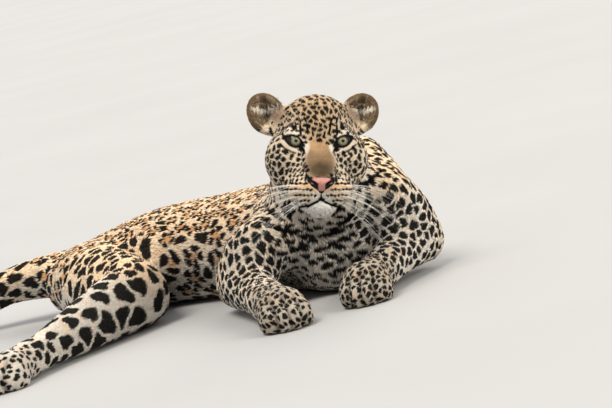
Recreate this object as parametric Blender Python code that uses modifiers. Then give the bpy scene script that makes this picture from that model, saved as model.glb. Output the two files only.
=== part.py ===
"""A life-size leopard that lies on its chest with the head up, parted into its limbs.

Metres, +Z up. The face looks along -Y, the body runs back and to -X, and everything rests on Z = 0.
The animal is built whole from muscle masses and lofts, melted together, and parted with thin cuts.
"""

import math

import bmesh
import bpy
import numpy as np
from mathutils import Euler, Matrix, Vector
from mathutils.bvhtree import BVHTree

# ---------------------------------------------------------------- driving sizes, in metres
HEAD_WIDTH = 0.165          # across the cheeks, fur included
TAIL_LENGTH = 0.78
GAP = 0.0003                # the air that two touching nodes keep
FLOOR_SINK = 0.004          # how deep the masses press in before the floor flattens them
VOXEL = 0.003
MELT_FINE = 4               # smoothing passes everywhere
MELT_BODY = 26              # more passes away from the face and the paws
TRIANGLES = 5600            # of the whole animal before its face is cut and it is parted
HEAD_KEEP = 0.0003          # what a collapsed edge costs extra on the head
HEAD_BALL = 0.155           # round the eyes, and round each paw's tip, the surface stays crisp
PAW_BALL = 0.11
CRISP = 0.8                 # share of each ball that isn't melted at all

HEAD_UNIT = HEAD_WIDTH / 165.0   # head sizes below are in 165ths of its width
HEAD_CENTRE = Vector((0.0755, -0.120, 0.2705))   # midpoint between the eyes
HEAD_LEAN = math.radians(13.5)   # towards its left shoulder
HEAD_RAISE = math.radians(6.0)
HEAD_TURN = math.radians(4.5)

RINGS_PER_SPAN = 4
RING_POINTS = 28

# ---------------------------------------------------------------- the pose: joints in metres
SPINE = (   # centre, half width, half height, from the breast to the tail's root
    ((0.060, 0.005, 0.102), 0.056, 0.082),
    ((0.056, 0.060, 0.106), 0.084, 0.106),
    ((0.046, 0.135, 0.103), 0.100, 0.107),
    ((0.018, 0.215, 0.095), 0.110, 0.100),
    ((-0.045, 0.300, 0.091), 0.114, 0.096),
    ((-0.125, 0.375, 0.088), 0.112, 0.093),
    ((-0.215, 0.440, 0.086), 0.106, 0.091),
    ((-0.300, 0.500, 0.076), 0.100, 0.081),
    ((-0.375, 0.555, 0.064), 0.090, 0.068),
    ((-0.430, 0.596, 0.060), 0.064, 0.054),
)
RIBS = ((0.098, 0.190, 0.118), (0.060, 0.115, 0.092))   # the ribs behind the raised left shoulder
NECK = (
    ((0.056, 0.130, 0.136), 0.090, 0.094),
    ((0.060, 0.062, 0.178), 0.086, 0.094),
    ((0.070, 0.004, 0.220), 0.077, 0.084),
    ((0.078, -0.048, 0.258), 0.060, 0.064),
)
TAIL_ROOT = (-0.400, 0.575)
TAIL_STEPS = (  # heading in degrees, height and radius at the step's end; steps of equal length
    (150, 0.084, 0.041), (158, 0.078, 0.034), (172, 0.052, 0.030), (188, 0.030, 0.028),
    (206, 0.024, 0.027), (228, 0.023, 0.026), (252, 0.023, 0.026), (275, 0.022, 0.025),
    (296, 0.020, 0.022), (312, 0.016, 0.014),
)

RIGHT, LEFT = "right", "left"
FORELEG = {
    RIGHT: {
        "blade": (-0.028, 0.125, 0.108), "shoulder": (-0.048, 0.030, 0.112),
        "elbow": (-0.108, 0.105, 0.052), "wrist": (-0.066, -0.110, 0.041),
        "knuckle": (-0.046, -0.200, 0.036), "tip": (-0.036, -0.268, 0.020),
    },
    LEFT: {
        "blade": (0.146, 0.130, 0.163), "shoulder": (0.160, 0.035, 0.142),
        "elbow": (0.205, 0.100, 0.054), "wrist": (0.128, -0.060, 0.042),
        "knuckle": (0.100, -0.130, 0.037), "tip": (0.085, -0.195, 0.020),
    },
}
HINDLEG = {
    RIGHT: {
        "hip": (-0.372, 0.470, 0.070), "knee": (-0.288, 0.200, 0.060),
        "hock": (-0.430, -0.030, 0.038), "knuckle": (-0.490, -0.135, 0.033), "tip": (-0.520, -0.196, 0.018),
    },
    LEFT: {
        "hip": (-0.315, 0.580, 0.070), "knee": (-0.130, 0.585, 0.060),
        "hock": (-0.285, 0.735, 0.036), "knuckle": (-0.170, 0.780, 0.032), "tip": (-0.104, 0.782, 0.018),
    },
}

BLADE_SIZES = {RIGHT: (0.046, 0.085, 0.072), LEFT: (0.046, 0.080, 0.086)}
BLADE_TURN = (-18, 0, 0)
ARM_RADII = (0.058, 0.054, 0.053, 0.045)        # blade, shoulder, middle of the arm, elbow
ARM_SWELL = Vector((0, 0, 0.010))
FOREARM_RADII = (0.045, 0.044, 0.036, 0.033)    # elbow, its muscle, wrist, knuckle
FOREARM_SWELL = Vector((0, 0, 0.004))
THIGH_RADII = (0.076, 0.074, 0.062)
SHANK_RADII = (0.062, 0.054, 0.037)
HINDFOOT_RADII = (0.037, 0.032, 0.032)
FOREPAW_SIZE = (0.088, 0.056)                   # width and height
HINDPAW_SIZE = (0.082, 0.052)
PALM_LENGTH = 0.052                             # half sizes from here on
TOE_LENGTH = 0.032
TOES = ((-1.0, -0.015), (-0.34, 0.0), (0.34, 0.0), (1.0, -0.015))   # place across the paw, reach ahead
TAIL_START = (0.082, 0.048)                     # height and radius at the root
RIB_TURN = (0, 0, 24)

COAT_GOLD = (0.56, 0.36, 0.17, 1.0)
COAT_PALE = (0.74, 0.66, 0.54, 1.0)
NOSE_PINK = (0.55, 0.28, 0.25, 1.0)
EYE_GREEN = (0.36, 0.38, 0.22, 1.0)
PALE_NODES = ("chest", "forearm", "forepaw", "thigh", "shank", "hindfoot", "hindpaw")


# ---------------------------------------------------------------- small tools
def clear_scene():
    """Removes every object that the file opened with."""
    for obj in list(bpy.data.objects):
        bpy.data.objects.remove(obj)


def smooth_between(rows, at):
    """The row of numbers at position at (0 to len-1) on a curve through all rows."""
    last = len(rows) - 1
    span = min(int(at), last - 1)
    share = at - span
    ends = [rows[max(0, min(last, span + step))] for step in (-1, 0, 1, 2)]
    values = []
    for before, start, end, after in zip(*ends):
        slope_in, slope_out = (end - before) / 2, (after - start) / 2
        values.append(
            start
            + share * slope_in
            + share**2 * (3 * (end - start) - 2 * slope_in - slope_out)
            + share**3 * (2 * (start - end) + slope_in + slope_out)
        )
    return values


def loft(bm, stations, frame=Matrix.Identity(4), scale=1.0):
    """A closed tube with oval sections through the stations: (centre, half width, half height)."""
    rows = [(*centre, *(sizes if len(sizes) == 2 else sizes * 2)) for centre, *sizes in stations]
    count = (len(rows) - 1) * RINGS_PER_SPAN
    samples = [smooth_between(rows, step / RINGS_PER_SPAN) for step in range(count + 1)]
    centres = [Vector(sample[:3]) for sample in samples]
    rings = []
    for index, sample in enumerate(samples):
        ahead = centres[min(index + 1, count)] - centres[max(index - 1, 0)]
        side = ahead.cross(Vector((0, 0, 1))).normalized()
        rise = side.cross(ahead).normalized()
        ring = []
        for step in range(RING_POINTS):
            angle = 2 * math.pi * step / RING_POINTS
            offset = side * (math.cos(angle) * sample[3]) + rise * (math.sin(angle) * sample[4])
            ring.append(bm.verts.new(frame @ ((centres[index] + offset) * scale)))
        rings.append(ring)
    for first, second in zip(rings, rings[1:]):
        for step in range(RING_POINTS):
            following = (step + 1) % RING_POINTS
            bm.faces.new((first[step], first[following], second[following], second[step]))
    bm.faces.new(reversed(rings[0]))
    bm.faces.new(rings[-1])


def ellipsoid(bm, at, radii, turn=(0, 0, 0), frame=Matrix.Identity(4), scale=1.0, detail=(24, 16)):
    """An oval mass. turn is in degrees about its own X, Y and Z."""
    rotation = Euler([math.radians(angle) for angle in turn]).to_matrix().to_4x4()
    matrix = (
        frame
        @ Matrix.Translation(Vector(at) * scale)
        @ rotation
        @ Matrix.Diagonal((*(radius * scale for radius in radii), 1))
    )
    bmesh.ops.create_uvsphere(bm, u_segments=detail[0], v_segments=detail[1], radius=1.0, matrix=matrix)


def limb(bm, points, radii):
    """A round tapered limb through joints, with a ball at each joint so that bends stay full."""
    loft(bm, [(tuple(point), radius, radius) for point, radius in zip(points, radii)])
    for point, radius in zip(points, radii):
        ellipsoid(bm, point, (radius, radius, radius))


def new_object(name, bm, collection):
    """An object of the bmesh, with its faces turned outwards."""
    bmesh.ops.recalc_face_normals(bm, faces=bm.faces)
    mesh = bpy.data.meshes.new(name)
    bm.to_mesh(mesh)
    bm.free()
    obj = bpy.data.objects.new(name, mesh)
    collection.objects.link(obj)
    return obj


def bake(obj):
    """Replaces the object's mesh with what its modifiers make of it."""
    bpy.context.view_layer.update()
    graph = bpy.context.evaluated_depsgraph_get()
    mesh = bpy.data.meshes.new_from_object(obj.evaluated_get(graph))
    obj.modifiers.clear()
    obj.data = mesh


def vertex_points(obj):
    """The object's vertices as rows of x, y, z."""
    points = np.empty(len(obj.data.vertices) * 3, np.float32)
    obj.data.vertices.foreach_get("co", points)
    return points.reshape(-1, 3)


def combine(obj, other, operation):
    """Applies one Boolean of obj with other."""
    modifier = obj.modifiers.new("Combine", "BOOLEAN")
    modifier.operation = operation
    modifier.solver = "MANIFOLD"
    modifier.object = other
    bake(obj)


def keep_largest(obj):
    """Drops every loose scrap, so that the object is one closed body."""
    bm = bmesh.new()
    bm.from_mesh(obj.data)
    bm.verts.ensure_lookup_table()
    left = set(bm.verts)
    bodies = []
    while left:
        stack = [left.pop()]
        body = set(stack)
        while stack:
            for edge in stack.pop().link_edges:
                for vert in edge.verts:
                    if vert in left:
                        left.remove(vert)
                        body.add(vert)
                        stack.append(vert)
        bodies.append(body)
    bodies.sort(key=len)
    for body in bodies[:-1]:
        bmesh.ops.delete(bm, geom=list(body), context="VERTS")
    bm.to_mesh(obj.data)
    bm.free()


def head_frame():
    """The head's own axes: X to its left, Y back, Z up, with the origin between the eyes."""
    raise_up = Matrix.Rotation(-HEAD_RAISE, 4, "X")
    lean = Matrix.Rotation(HEAD_LEAN, 4, "Y")
    turn = Matrix.Rotation(HEAD_TURN, 4, "Z")
    return Matrix.Translation(HEAD_CENTRE) @ raise_up @ lean @ turn


HEAD = head_frame()


# ---------------------------------------------------------------- the head as blended masses
# sizes in head units, and every paired mass is given on the head's left side
HEAD_BLEND = 4.6            # over which two masses melt together
HEAD_CORE = (0, 22, -25)    # every point of the face is seen from here
HEAD_REACH = 190.0
HEAD_SPHERES = 6            # subdivisions of the sphere that is drawn in
DRAW_STEPS = 34
DRAW_SHARE = 0.75           # share of the distance left that each step takes
HEAD_MASSES = (             # centre, half sizes, turn in degrees, paired; all in head units
    ((0, 62, 18), (66, 64, 63), (0, 0, 0), False),         # cranium
    ((0, 33, 23), (48, 37, 45), (0, 0, 0), False),         # forehead
    ((33, 15, 13), (22, 18, 12), (0, 14, -16), True),      # brow ridge
    ((50, 42, -27), (36, 43, 47), (0, -8, 0), True),       # cheek
    ((38, 18, -24), (24, 22, 16), (0, 10, -20), True),     # cheekbone under the eye
    ((0, 52, -64), (68, 50, 43), (0, 0, 0), False),        # jaw angles and throat
    ((0, -14, -74), (42, 40, 30), (0, 0, 0), False),       # muzzle
    ((24, -32, -83), (27, 29, 22), (0, -10, -12), True),   # whisker pad
    ((0, -51, -70), (22, 17, 12), (-20, 0, 0), False),     # nose
    ((0, -36, -109), (27, 23, 19), (0, 0, 0), False),      # chin
    ((0, 8, -94), (42, 48, 26), (0, 0, 0), False),         # lower jaw
)
HEAD_BARS = (               # start, its radius, end, its radius, paired
    ((12, 22, 2), 20, (12, -36, -56), 16, True),           # bridge of the nose
    ((33, 18, -28), 20, (24, -16, -68), 20, True),         # from the cheekbone to the muzzle
    ((44, 26, -52), 22, (30, -10, -84), 22, True),         # from the cheek to the lips
)
EYE = (38, 10, 0)
EYE_RADIUS = 15.5
EYE_DETAIL = (20, 12)
LID = 4.4                   # the lid's thickness over the eyeball
EAR = ((77, 64, 43), (31, 16, 38), (-8, 36, -16))       # centre, half sizes and turn on its left side
EAR_ROOT = ((60, 62, 27), (24, 20, 33), (0, 25, 0))
EAR_CUP = ((77.5, 50.5, 43.5), (24, 18.5, 31), (-8, 36, -16))
EAR_SHIFT = {1: -7, -1: 2}  # its left ear is drawn in and its right one let out
HEAD_PLACE = {"frame": HEAD, "scale": HEAD_UNIT}


def mirrored(side, centre, sizes, turn):
    """An oval mass of its left side (side 1), or the same on its right (side -1)."""
    at = (side * centre[0], *centre[1:])
    return at, sizes, (turn[0], side * turn[1], side * turn[2])


def ear_form(side, form):
    """One of an ear's forms on its left side (side 1) or its right (side -1), with that ear's shift."""
    (x, y, z), sizes, turn = form
    return mirrored(side, (x + EAR_SHIFT[side], y, z), sizes, turn)


def both_sides(rows):
    """The rows, each paired one twice, as (side, row)."""
    return [(side, row) for row in rows for side in ((1, -1) if row[-1] else (1,))]


def head_distance(points):
    """How far each point lies outside the head's skin, in head units."""
    fields = []
    for side, (centre, sizes, turn, _) in both_sides(HEAD_MASSES):
        centre, sizes, turn = mirrored(side, centre, sizes, turn)
        axes = np.array(Euler([math.radians(angle) for angle in turn]).to_matrix())
        local = (points - np.array(centre)) @ axes
        near = np.linalg.norm(local / sizes, axis=1)
        steep = np.linalg.norm(local / np.square(sizes), axis=1)
        fields.append(near * (near - 1) / np.maximum(steep, 1e-9))
    for side, (start, start_radius, end, end_radius, _) in both_sides(HEAD_BARS):
        mirror = np.array([side, 1, 1])
        first, second = np.array(start) * mirror, np.array(end) * mirror
        axis = second - first
        share = np.clip((points - first) @ axis / (axis @ axis), 0, 1)
        nearest = first + share[:, None] * axis
        radius = start_radius + share * (end_radius - start_radius)
        fields.append(np.linalg.norm(points - nearest, axis=1) - radius)
    for side in (1, -1):
        centre = np.array([EYE[0] * side, *EYE[1:]])
        fields.append(np.linalg.norm(points - centre, axis=1) - EYE_RADIUS - LID)
    fields = np.array(fields)
    lowest = fields.min(axis=0)
    melted = np.log(np.exp((lowest - fields) / HEAD_BLEND).sum(axis=0))
    return lowest - HEAD_BLEND * (melted - 0.5)


def add_head(bm):
    """Skull, cheeks, muzzle and jaw: a sphere drawn in onto the blended masses."""
    ball = bmesh.new()
    bmesh.ops.create_icosphere(ball, subdivisions=HEAD_SPHERES, radius=1.0)
    rays = np.array([vert.co for vert in ball.verts])
    rays /= np.linalg.norm(rays, axis=1)[:, None]
    core = np.array(HEAD_CORE)
    reach = np.full(len(rays), HEAD_REACH)
    for _ in range(DRAW_STEPS):
        reach -= DRAW_SHARE * head_distance(core + rays * reach[:, None])
    for vert, point in zip(ball.verts, core + rays * reach[:, None]):
        vert.co = HEAD @ (Vector(point) * HEAD_UNIT)
    mesh = bpy.data.meshes.new("head masses")
    ball.to_mesh(mesh)
    ball.free()
    bm.from_mesh(mesh)
    bpy.data.meshes.remove(mesh)
    for side in (-1, 1):
        for form in (EAR, EAR_ROOT):
            ellipsoid(bm, *ear_form(side, form), **HEAD_PLACE)


def add_paw(bm, knuckle, tip, size):
    """A broad paw with four toes side by side at its front."""
    width, height = size
    middle, end = Vector(knuckle), Vector(tip)
    ahead = end - middle
    ahead.z = 0
    ahead.normalize()
    side = ahead.cross(Vector((0, 0, 1)))
    heading = math.degrees(math.atan2(ahead.y, ahead.x))
    palm = (PALM_LENGTH, width * 0.48, height * 0.64)
    ellipsoid(bm, middle + ahead * 0.006, palm, turn=(0, 0, heading))
    for place, reach in TOES:
        centre = end + side * (place * width * 0.335) + ahead * (reach - 0.018)
        centre.z = height * 0.40
        sizes = (TOE_LENGTH, width * 0.175, height * 0.47)
        ellipsoid(bm, centre, sizes, turn=(0, 0, heading + place * 6))


def add_foreleg(bm, side):
    """Shoulder blade, upper arm, forearm and paw."""
    joints = FORELEG[side]
    blade, shoulder, elbow = (Vector(joints[name]) for name in ("blade", "shoulder", "elbow"))
    wrist, knuckle = Vector(joints["wrist"]), Vector(joints["knuckle"])
    ellipsoid(bm, blade, BLADE_SIZES[side], turn=BLADE_TURN)
    arm = shoulder.lerp(elbow, 0.5) + ARM_SWELL
    limb(bm, (blade, shoulder, arm, elbow), ARM_RADII)
    middle = elbow.lerp(wrist, 0.4) + FOREARM_SWELL
    limb(bm, (elbow, middle, wrist, knuckle), FOREARM_RADII)
    add_paw(bm, knuckle, joints["tip"], FOREPAW_SIZE)


def add_hindleg(bm, joints):
    """Thigh, shank, and the long foot with its paw."""
    hip, knee = Vector(joints["hip"]), Vector(joints["knee"])
    hock, knuckle = Vector(joints["hock"]), Vector(joints["knuckle"])
    limb(bm, (hip, hip.lerp(knee, 0.5), knee), THIGH_RADII)
    limb(bm, (knee, knee.lerp(hock, 0.4), hock), SHANK_RADII)
    limb(bm, (hock, hock.lerp(knuckle, 0.5), knuckle), HINDFOOT_RADII)
    add_paw(bm, knuckle, joints["tip"], HINDPAW_SIZE)


def tail_stations():
    """The tail's centres and radii, a step of equal length apart."""
    step = TAIL_LENGTH / len(TAIL_STEPS)
    at = Vector((*TAIL_ROOT, TAIL_START[0]))
    stations = [(tuple(at), TAIL_START[1])]
    for heading, height, radius in TAIL_STEPS:
        angle = math.radians(heading)
        drop = height - at.z
        run = math.sqrt(step**2 - drop**2)
        at = at + Vector((run * math.cos(angle), run * math.sin(angle), drop))
        stations.append((tuple(at), radius))
    return stations


def add_masses(bm):
    """Every mass of the animal, overlapping."""
    loft(bm, SPINE)
    loft(bm, NECK)
    loft(bm, tail_stations())
    ellipsoid(bm, *RIBS, turn=RIB_TURN)
    for side in (RIGHT, LEFT):
        add_foreleg(bm, side)
        add_hindleg(bm, HINDLEG[side])
    add_head(bm)


# ---------------------------------------------------------------- melting them together
def melt_weights(obj):
    """Groups that leave the head and the paws crisp, and give the head more triangles."""
    keep = [(HEAD_CENTRE, HEAD_BALL)]
    for legs in (FORELEG, HINDLEG):
        keep += [(Vector(legs[side]["tip"]), PAW_BALL) for side in (RIGHT, LEFT)]
    points = vertex_points(obj)
    near = np.min([np.linalg.norm(points - np.array(at), axis=1) / reach for at, reach in keep], axis=0)
    melt = np.clip((near - CRISP) / (2 - 2 * CRISP), 0, 1)
    from_head = np.linalg.norm(points - np.array(HEAD_CENTRE), axis=1)
    thin = np.where(from_head > HEAD_BALL, 1.0, 0.5)
    for name, shares in (("melt", melt), ("thin", thin)):
        group = obj.vertex_groups.new(name=name)
        steps = np.round(shares * 10).astype(int)
        for step in np.unique(steps):
            group.add(np.nonzero(steps == step)[0].tolist(), step / 10, "REPLACE")


def whole_animal(collection):
    """The animal as one closed, melted surface."""
    bm = bmesh.new()
    add_masses(bm)
    bmesh.ops.translate(bm, verts=bm.verts, vec=(0, 0, -FLOOR_SINK))
    obj = new_object("whole", bm, collection)
    remesh = obj.modifiers.new("Melt", "REMESH")
    remesh.mode = "VOXEL"
    remesh.voxel_size = VOXEL
    bake(obj)
    melt_weights(obj)
    fine = obj.modifiers.new("Fine", "SMOOTH")
    fine.factor = 0.5
    fine.iterations = MELT_FINE
    soft = obj.modifiers.new("Soft", "SMOOTH")
    soft.factor = 0.5
    soft.iterations = MELT_BODY
    soft.vertex_group = "melt"
    thinner = obj.modifiers.new("Thin", "DECIMATE")
    thinner.ratio = TRIANGLES / (2 * len(obj.data.polygons))
    thinner.vertex_group = "thin"
    thinner.vertex_group_factor = HEAD_KEEP
    bake(obj)
    return obj


# ---------------------------------------------------------------- cutting the face
EYE_OPENING = (39, 0, 14.0, 9.6, 24)   # middle x and z, half length, half height, tilt of the corners
LID_RIM = 2.3               # radius of the lid's edge
MOUTH = ((0, -95), (9, -100), (22, -105), (34, -102), (43, -94), (50, -84))   # x and z, seen from the front
PHILTRUM = ((0, -84), (0, -90), (0, -95))
MOUTH_WIDTH = 1.5           # radius of the groove
NOSTRIL = ((10.5, -66, -74), (5.2, 8, 3.2), (0, 24, 20))


def opening_outline(side, grow, count=20):
    """The eye's opening as (x, z) pairs: an almond with its outer corner higher."""
    x, z, length, height, tilt = EYE_OPENING
    angle = math.radians(tilt)
    outline = []
    for step in range(count):
        turn = 2 * math.pi * step / count
        along = (length + grow) * math.cos(turn)
        across = (height + grow) * math.sin(turn) * (1 - 0.35 * math.cos(turn) ** 2)
        outline.append(
            (
                side * (x + along * math.cos(angle) - across * math.sin(angle)),
                z + along * math.sin(angle) + across * math.cos(angle),
            )
        )
    return outline


def ring_tube(bm, centres, radius, closed, sides=6):
    """A thin tube through points, either a closed loop or open with capped ends."""
    count = len(centres)
    rings = []
    for index, centre in enumerate(centres):
        after = centres[(index + 1) % count] if closed else centres[min(index + 1, count - 1)]
        before = centres[index - 1] if closed or index else centre
        ahead = (after - before).normalized()
        first = ahead.orthogonal() if not rings else (reference - reference.project(ahead))
        reference = first.normalized()
        second = ahead.cross(reference)
        ring = []
        for step in range(sides):
            angle = 2 * math.pi * step / sides
            outwards = reference * math.cos(angle) + second * math.sin(angle)
            ring.append(bm.verts.new(centre + radius * outwards))
        rings.append(ring)
    pairs = list(zip(rings, rings[1:])) + ([(rings[-1], rings[0])] if closed else [])
    for first, second in pairs:
        for step in range(sides):
            following = (step + 1) % sides
            bm.faces.new((first[step], first[following], second[following], second[step]))
    if not closed:
        bm.faces.new(reversed(rings[0]))
        bm.faces.new(rings[-1])


def head_point(x, y, z):
    """A point given in head units."""
    return HEAD @ (Vector((x, y, z)) * HEAD_UNIT)


def on_face(tree, x, z, depth=0.0):
    """Where a line of sight at x, z meets the face, moved back by depth head units."""
    start, toward = head_point(x, -150, z), (HEAD.to_3x3() @ Vector((0, 1, 0))).normalized()
    hit = tree.ray_cast(start, toward)[0]
    return hit + toward * (depth * HEAD_UNIT)


def add_lids(whole, tools):
    """A raised rim round each eye's opening."""
    tree = BVHTree.FromObject(whole, bpy.context.evaluated_depsgraph_get())
    for side in (-1, 1):
        bm = bmesh.new()
        rim = [on_face(tree, x, z, LID_RIM * 0.4) for x, z in opening_outline(side, 1.0)]
        ring_tube(bm, rim, LID_RIM * HEAD_UNIT, closed=True)
        combine(whole, new_object("lid rim", bm, tools), "UNION")


def open_eyes(whole, tools):
    """Cuts each almond opening and the room for its eyeball."""
    for side in (-1, 1):
        bm = bmesh.new()
        outline = opening_outline(side, 0.0)
        front = [bm.verts.new(head_point(x, -40, z)) for x, z in outline]
        back = [bm.verts.new(head_point(x, EYE[1] - 3, z)) for x, z in outline]
        bm.faces.new(front)
        bm.faces.new(reversed(back))
        for index in range(len(outline)):
            following = (index + 1) % len(outline)
            bm.faces.new((front[index], back[index], back[following], front[following]))
        combine(whole, new_object("opening", bm, tools), "DIFFERENCE")
        bm = bmesh.new()
        room = EYE_RADIUS + GAP / HEAD_UNIT
        ellipsoid(bm, (side * EYE[0], *EYE[1:]), (room,) * 3, detail=EYE_DETAIL, **HEAD_PLACE)
        combine(whole, new_object("room", bm, tools), "DIFFERENCE")


def cut_mouth(whole, tools):
    """The groove of the mouth from corner to corner, and the one under the nose."""
    tree = BVHTree.FromObject(whole, bpy.context.evaluated_depsgraph_get())
    right = [(-x, z) for x, z in reversed(MOUTH[1:])]
    rows = [smooth_between((*right, *MOUTH), step / 3) for step in range(3 * (2 * len(MOUTH) - 2) + 1)]
    for name, line in (("mouth", rows), ("philtrum", PHILTRUM)):
        bm = bmesh.new()
        ring_tube(bm, [on_face(tree, x, z) for x, z in line], MOUTH_WIDTH * HEAD_UNIT, closed=False)
        combine(whole, new_object(name, bm, tools), "DIFFERENCE")


def cut_nostrils(whole, tools):
    """A comma-shaped hole on each side of the nose."""
    for side in (-1, 1):
        bm = bmesh.new()
        ellipsoid(bm, *mirrored(side, *NOSTRIL), detail=(10, 6), **HEAD_PLACE)
        combine(whole, new_object("nostril", bm, tools), "DIFFERENCE")


def cut_ears(whole, tools):
    """The cup of each ear, open to the front."""
    for side in (-1, 1):
        bm = bmesh.new()
        ellipsoid(bm, *ear_form(side, EAR_CUP), detail=(18, 12), **HEAD_PLACE)
        combine(whole, new_object("ear cup", bm, tools), "DIFFERENCE")


def eyeball(side, name, collection):
    """One eyeball in its room."""
    bm = bmesh.new()
    ellipsoid(bm, (side * EYE[0], *EYE[1:]), (EYE_RADIUS,) * 3, detail=EYE_DETAIL, **HEAD_PLACE)
    return new_object(name, bm, collection)


# ---------------------------------------------------------------- parting
def slab(name, at, toward, reach, width, height, tools, grow=0.0):
    """A box whose near face stands at a point and which runs toward a direction."""
    toward = Vector(toward).normalized()
    side = toward.cross(Vector((0, 0, 1))).normalized()
    rise = side.cross(toward)
    centre = Vector(at) + toward * (reach / 2)
    rotation = Matrix((side, toward, rise)).transposed().to_4x4()
    sizes = Matrix.Diagonal((width + 2 * grow, reach + 2 * grow, height + 2 * grow, 1))
    bm = bmesh.new()
    bmesh.ops.create_cube(bm, size=1.0, matrix=Matrix.Translation(centre) @ rotation @ sizes)
    return new_object(name, bm, tools)


def part_off(whole, name, at, toward, reach, width, height, tools):
    """Moves what lies in a box out of the whole into a node of its own, a gap away."""
    node = whole.copy()
    node.data = whole.data.copy()
    node.name = name
    whole.users_collection[0].objects.link(node)
    combine(node, slab(name + " box", at, toward, reach, width, height, tools), "INTERSECT")
    keep_largest(node)
    combine(whole, slab(name + " gap", at, toward, reach, width, height, tools, GAP), "DIFFERENCE")
    keep_largest(whole)
    return node


# reach, width and height of the boxes that part off each leg, from the paw up
FORELEG_BOXES = ((0.25, 0.14, 0.16), (0.26, 0.096, 0.20))
HINDLEG_BOXES = ((0.22, 0.13, 0.14), (0.28, 0.13, 0.14), (0.30, 0.15, 0.20), (0.34, 0.172, 0.26))
TAIL_CUTS = ((4, 8), (3, 6), (2, 3), (1, 1))    # number of the node, and the step where it starts


def leg_cuts(names, joints, boxes):
    """Cuts across a leg, from the paw up: each box runs on from a joint along the limb."""
    cuts = []
    for name, (start, end, share), box in zip(names, joints, boxes):
        start, end = Vector(start), Vector(end)
        toward = end - start
        toward.z = 0
        cuts.append((name, start + (end - start) * share, toward, *box))
    return cuts


def all_cuts():
    """Every cut in order, from the tips of the body inwards: (name, at, toward, reach, width, height)."""
    cuts = []
    turn = HEAD.to_3x3()
    for side, name in ((-1, RIGHT), (1, LEFT)):
        at = head_point(side * 74, 62, 34)
        cuts.append((f"ear_{name}", at, turn @ Vector((side * 0.74, 0, 0.67)), 0.10, 0.10, 0.12))
    cuts.append(("nose", head_point(0, -54, -71.5), turn @ Vector((0, -1, 0)), 0.04, 0.052, 0.0205))
    cuts.append(("head", head_point(0, 84, -36), turn @ Vector((0, -0.923, 0.385)), 0.27, 0.32, 0.26))
    cuts.append(("neck", (0.060, 0.062, 0.186), (0.04, -0.52, 0.85), 0.14, 0.176, 0.34))
    for side in (RIGHT, LEFT):
        leg = FORELEG[side]
        joints = ((leg["wrist"], leg["knuckle"], 0.35), (leg["elbow"], leg["wrist"], 0.18))
        cuts += leg_cuts((f"forepaw_{side}", f"forearm_{side}"), joints, FORELEG_BOXES)
    cuts.append(("upper_arm_right", (-0.052, 0.070, 0.09), (-1, 0, 0), 0.14, 0.19, 0.26))
    cuts.append(("upper_arm_left", (0.138, 0.070, 0.12), (1, 0, 0), 0.16, 0.21, 0.34))
    for side in (RIGHT, LEFT):
        leg = HINDLEG[side]
        joints = (
            (leg["hock"], leg["knuckle"], 0.70),
            (leg["hock"], leg["knuckle"], 0.08),
            (leg["knee"], leg["hock"], 0.20),
            (leg["hip"], leg["knee"], 0.32),
        )
        names = (f"hindpaw_{side}", f"hindfoot_{side}", f"shank_{side}", f"thigh_{side}")
        cuts += leg_cuts(names, joints, HINDLEG_BOXES)
    stations = tail_stations()
    for number, first in TAIL_CUTS:
        start, end = Vector(stations[first][0]), Vector(stations[first + 1][0])
        cuts.append((f"tail_{number}", start, end - start, 0.30, 0.20, 0.20))
    cuts.append(("rump", SPINE[6][0], (-0.80, 0.60, 0), 0.40, 0.50, 0.50))
    cuts.append(("abdomen", SPINE[3][0], (-0.50, 0.86, 0), 0.40, 0.50, 0.50))
    return cuts


def finish(parts, colours):
    """Sets the animal down with the middle of its bounds over the origin, and colours each node."""
    points = np.concatenate([vertex_points(obj) for obj in parts.objects])
    low, high = points.min(axis=0), points.max(axis=0)
    shift = Vector((-(low[0] + high[0]) / 2, -(low[1] + high[1]) / 2, -low[2]))
    for obj in parts.objects:
        obj.data.transform(Matrix.Translation(shift))
        obj.data.materials.clear()
        kind = obj.name.rsplit("_", 1)[0]
        obj.data.materials.append(colours[kind if kind in colours else "coat"])


def coat_material(name, colour, roughness):
    """A plain finish for one kind of node."""
    material = bpy.data.materials.new(name)
    material.use_nodes = True
    shader = material.node_tree.nodes["Principled BSDF"]
    shader.inputs["Base Color"].default_value = colour
    shader.inputs["Roughness"].default_value = roughness
    shader.inputs["Metallic"].default_value = 0.0
    return material


def main():
    """Builds the leopard's nodes."""
    clear_scene()
    scene = bpy.context.scene
    parts = bpy.data.collections.new("leopard")
    tools = bpy.data.collections.new("cutters")
    for collection in (parts, tools):
        scene.collection.children.link(collection)
    whole = whole_animal(parts)
    add_lids(whole, tools)
    open_eyes(whole, tools)
    cut_mouth(whole, tools)
    cut_nostrils(whole, tools)
    cut_ears(whole, tools)
    floor = slab("floor", (0, -2, -0.5), (0, 1, 0), 4, 4, 1.0, tools)
    combine(whole, floor, "DIFFERENCE")
    for cut in all_cuts():
        part_off(whole, *cut, tools)
    whole.name = "chest"
    for side, name in ((-1, RIGHT), (1, LEFT)):
        eyeball(side, f"eye_{name}", parts)
    pale = coat_material("coat_pale", COAT_PALE, 0.9)
    colours = {
        "coat": coat_material("coat", COAT_GOLD, 0.9),
        "nose": coat_material("nose", NOSE_PINK, 0.45),
        "eye": coat_material("eye", EYE_GREEN, 0.1),
    }
    colours.update({kind: pale for kind in PALE_NODES})
    finish(parts, colours)
    for tool in tools.objects:
        tool.hide_render = True
        tool.display_type = "WIRE"


if __name__ == "__main__":
    main()
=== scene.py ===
"""A lying leopard: skin, coat, eyes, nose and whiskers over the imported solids, on a pale floor."""

from __future__ import annotations

import itertools
import logging
import math
from dataclasses import dataclass, field
from enum import Enum
from typing import Iterable, Sequence

import bmesh
import bpy
import numpy as np
from mathutils import Euler, Matrix, Vector
from mathutils.bvhtree import BVHTree
from mathutils.kdtree import KDTree


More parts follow.
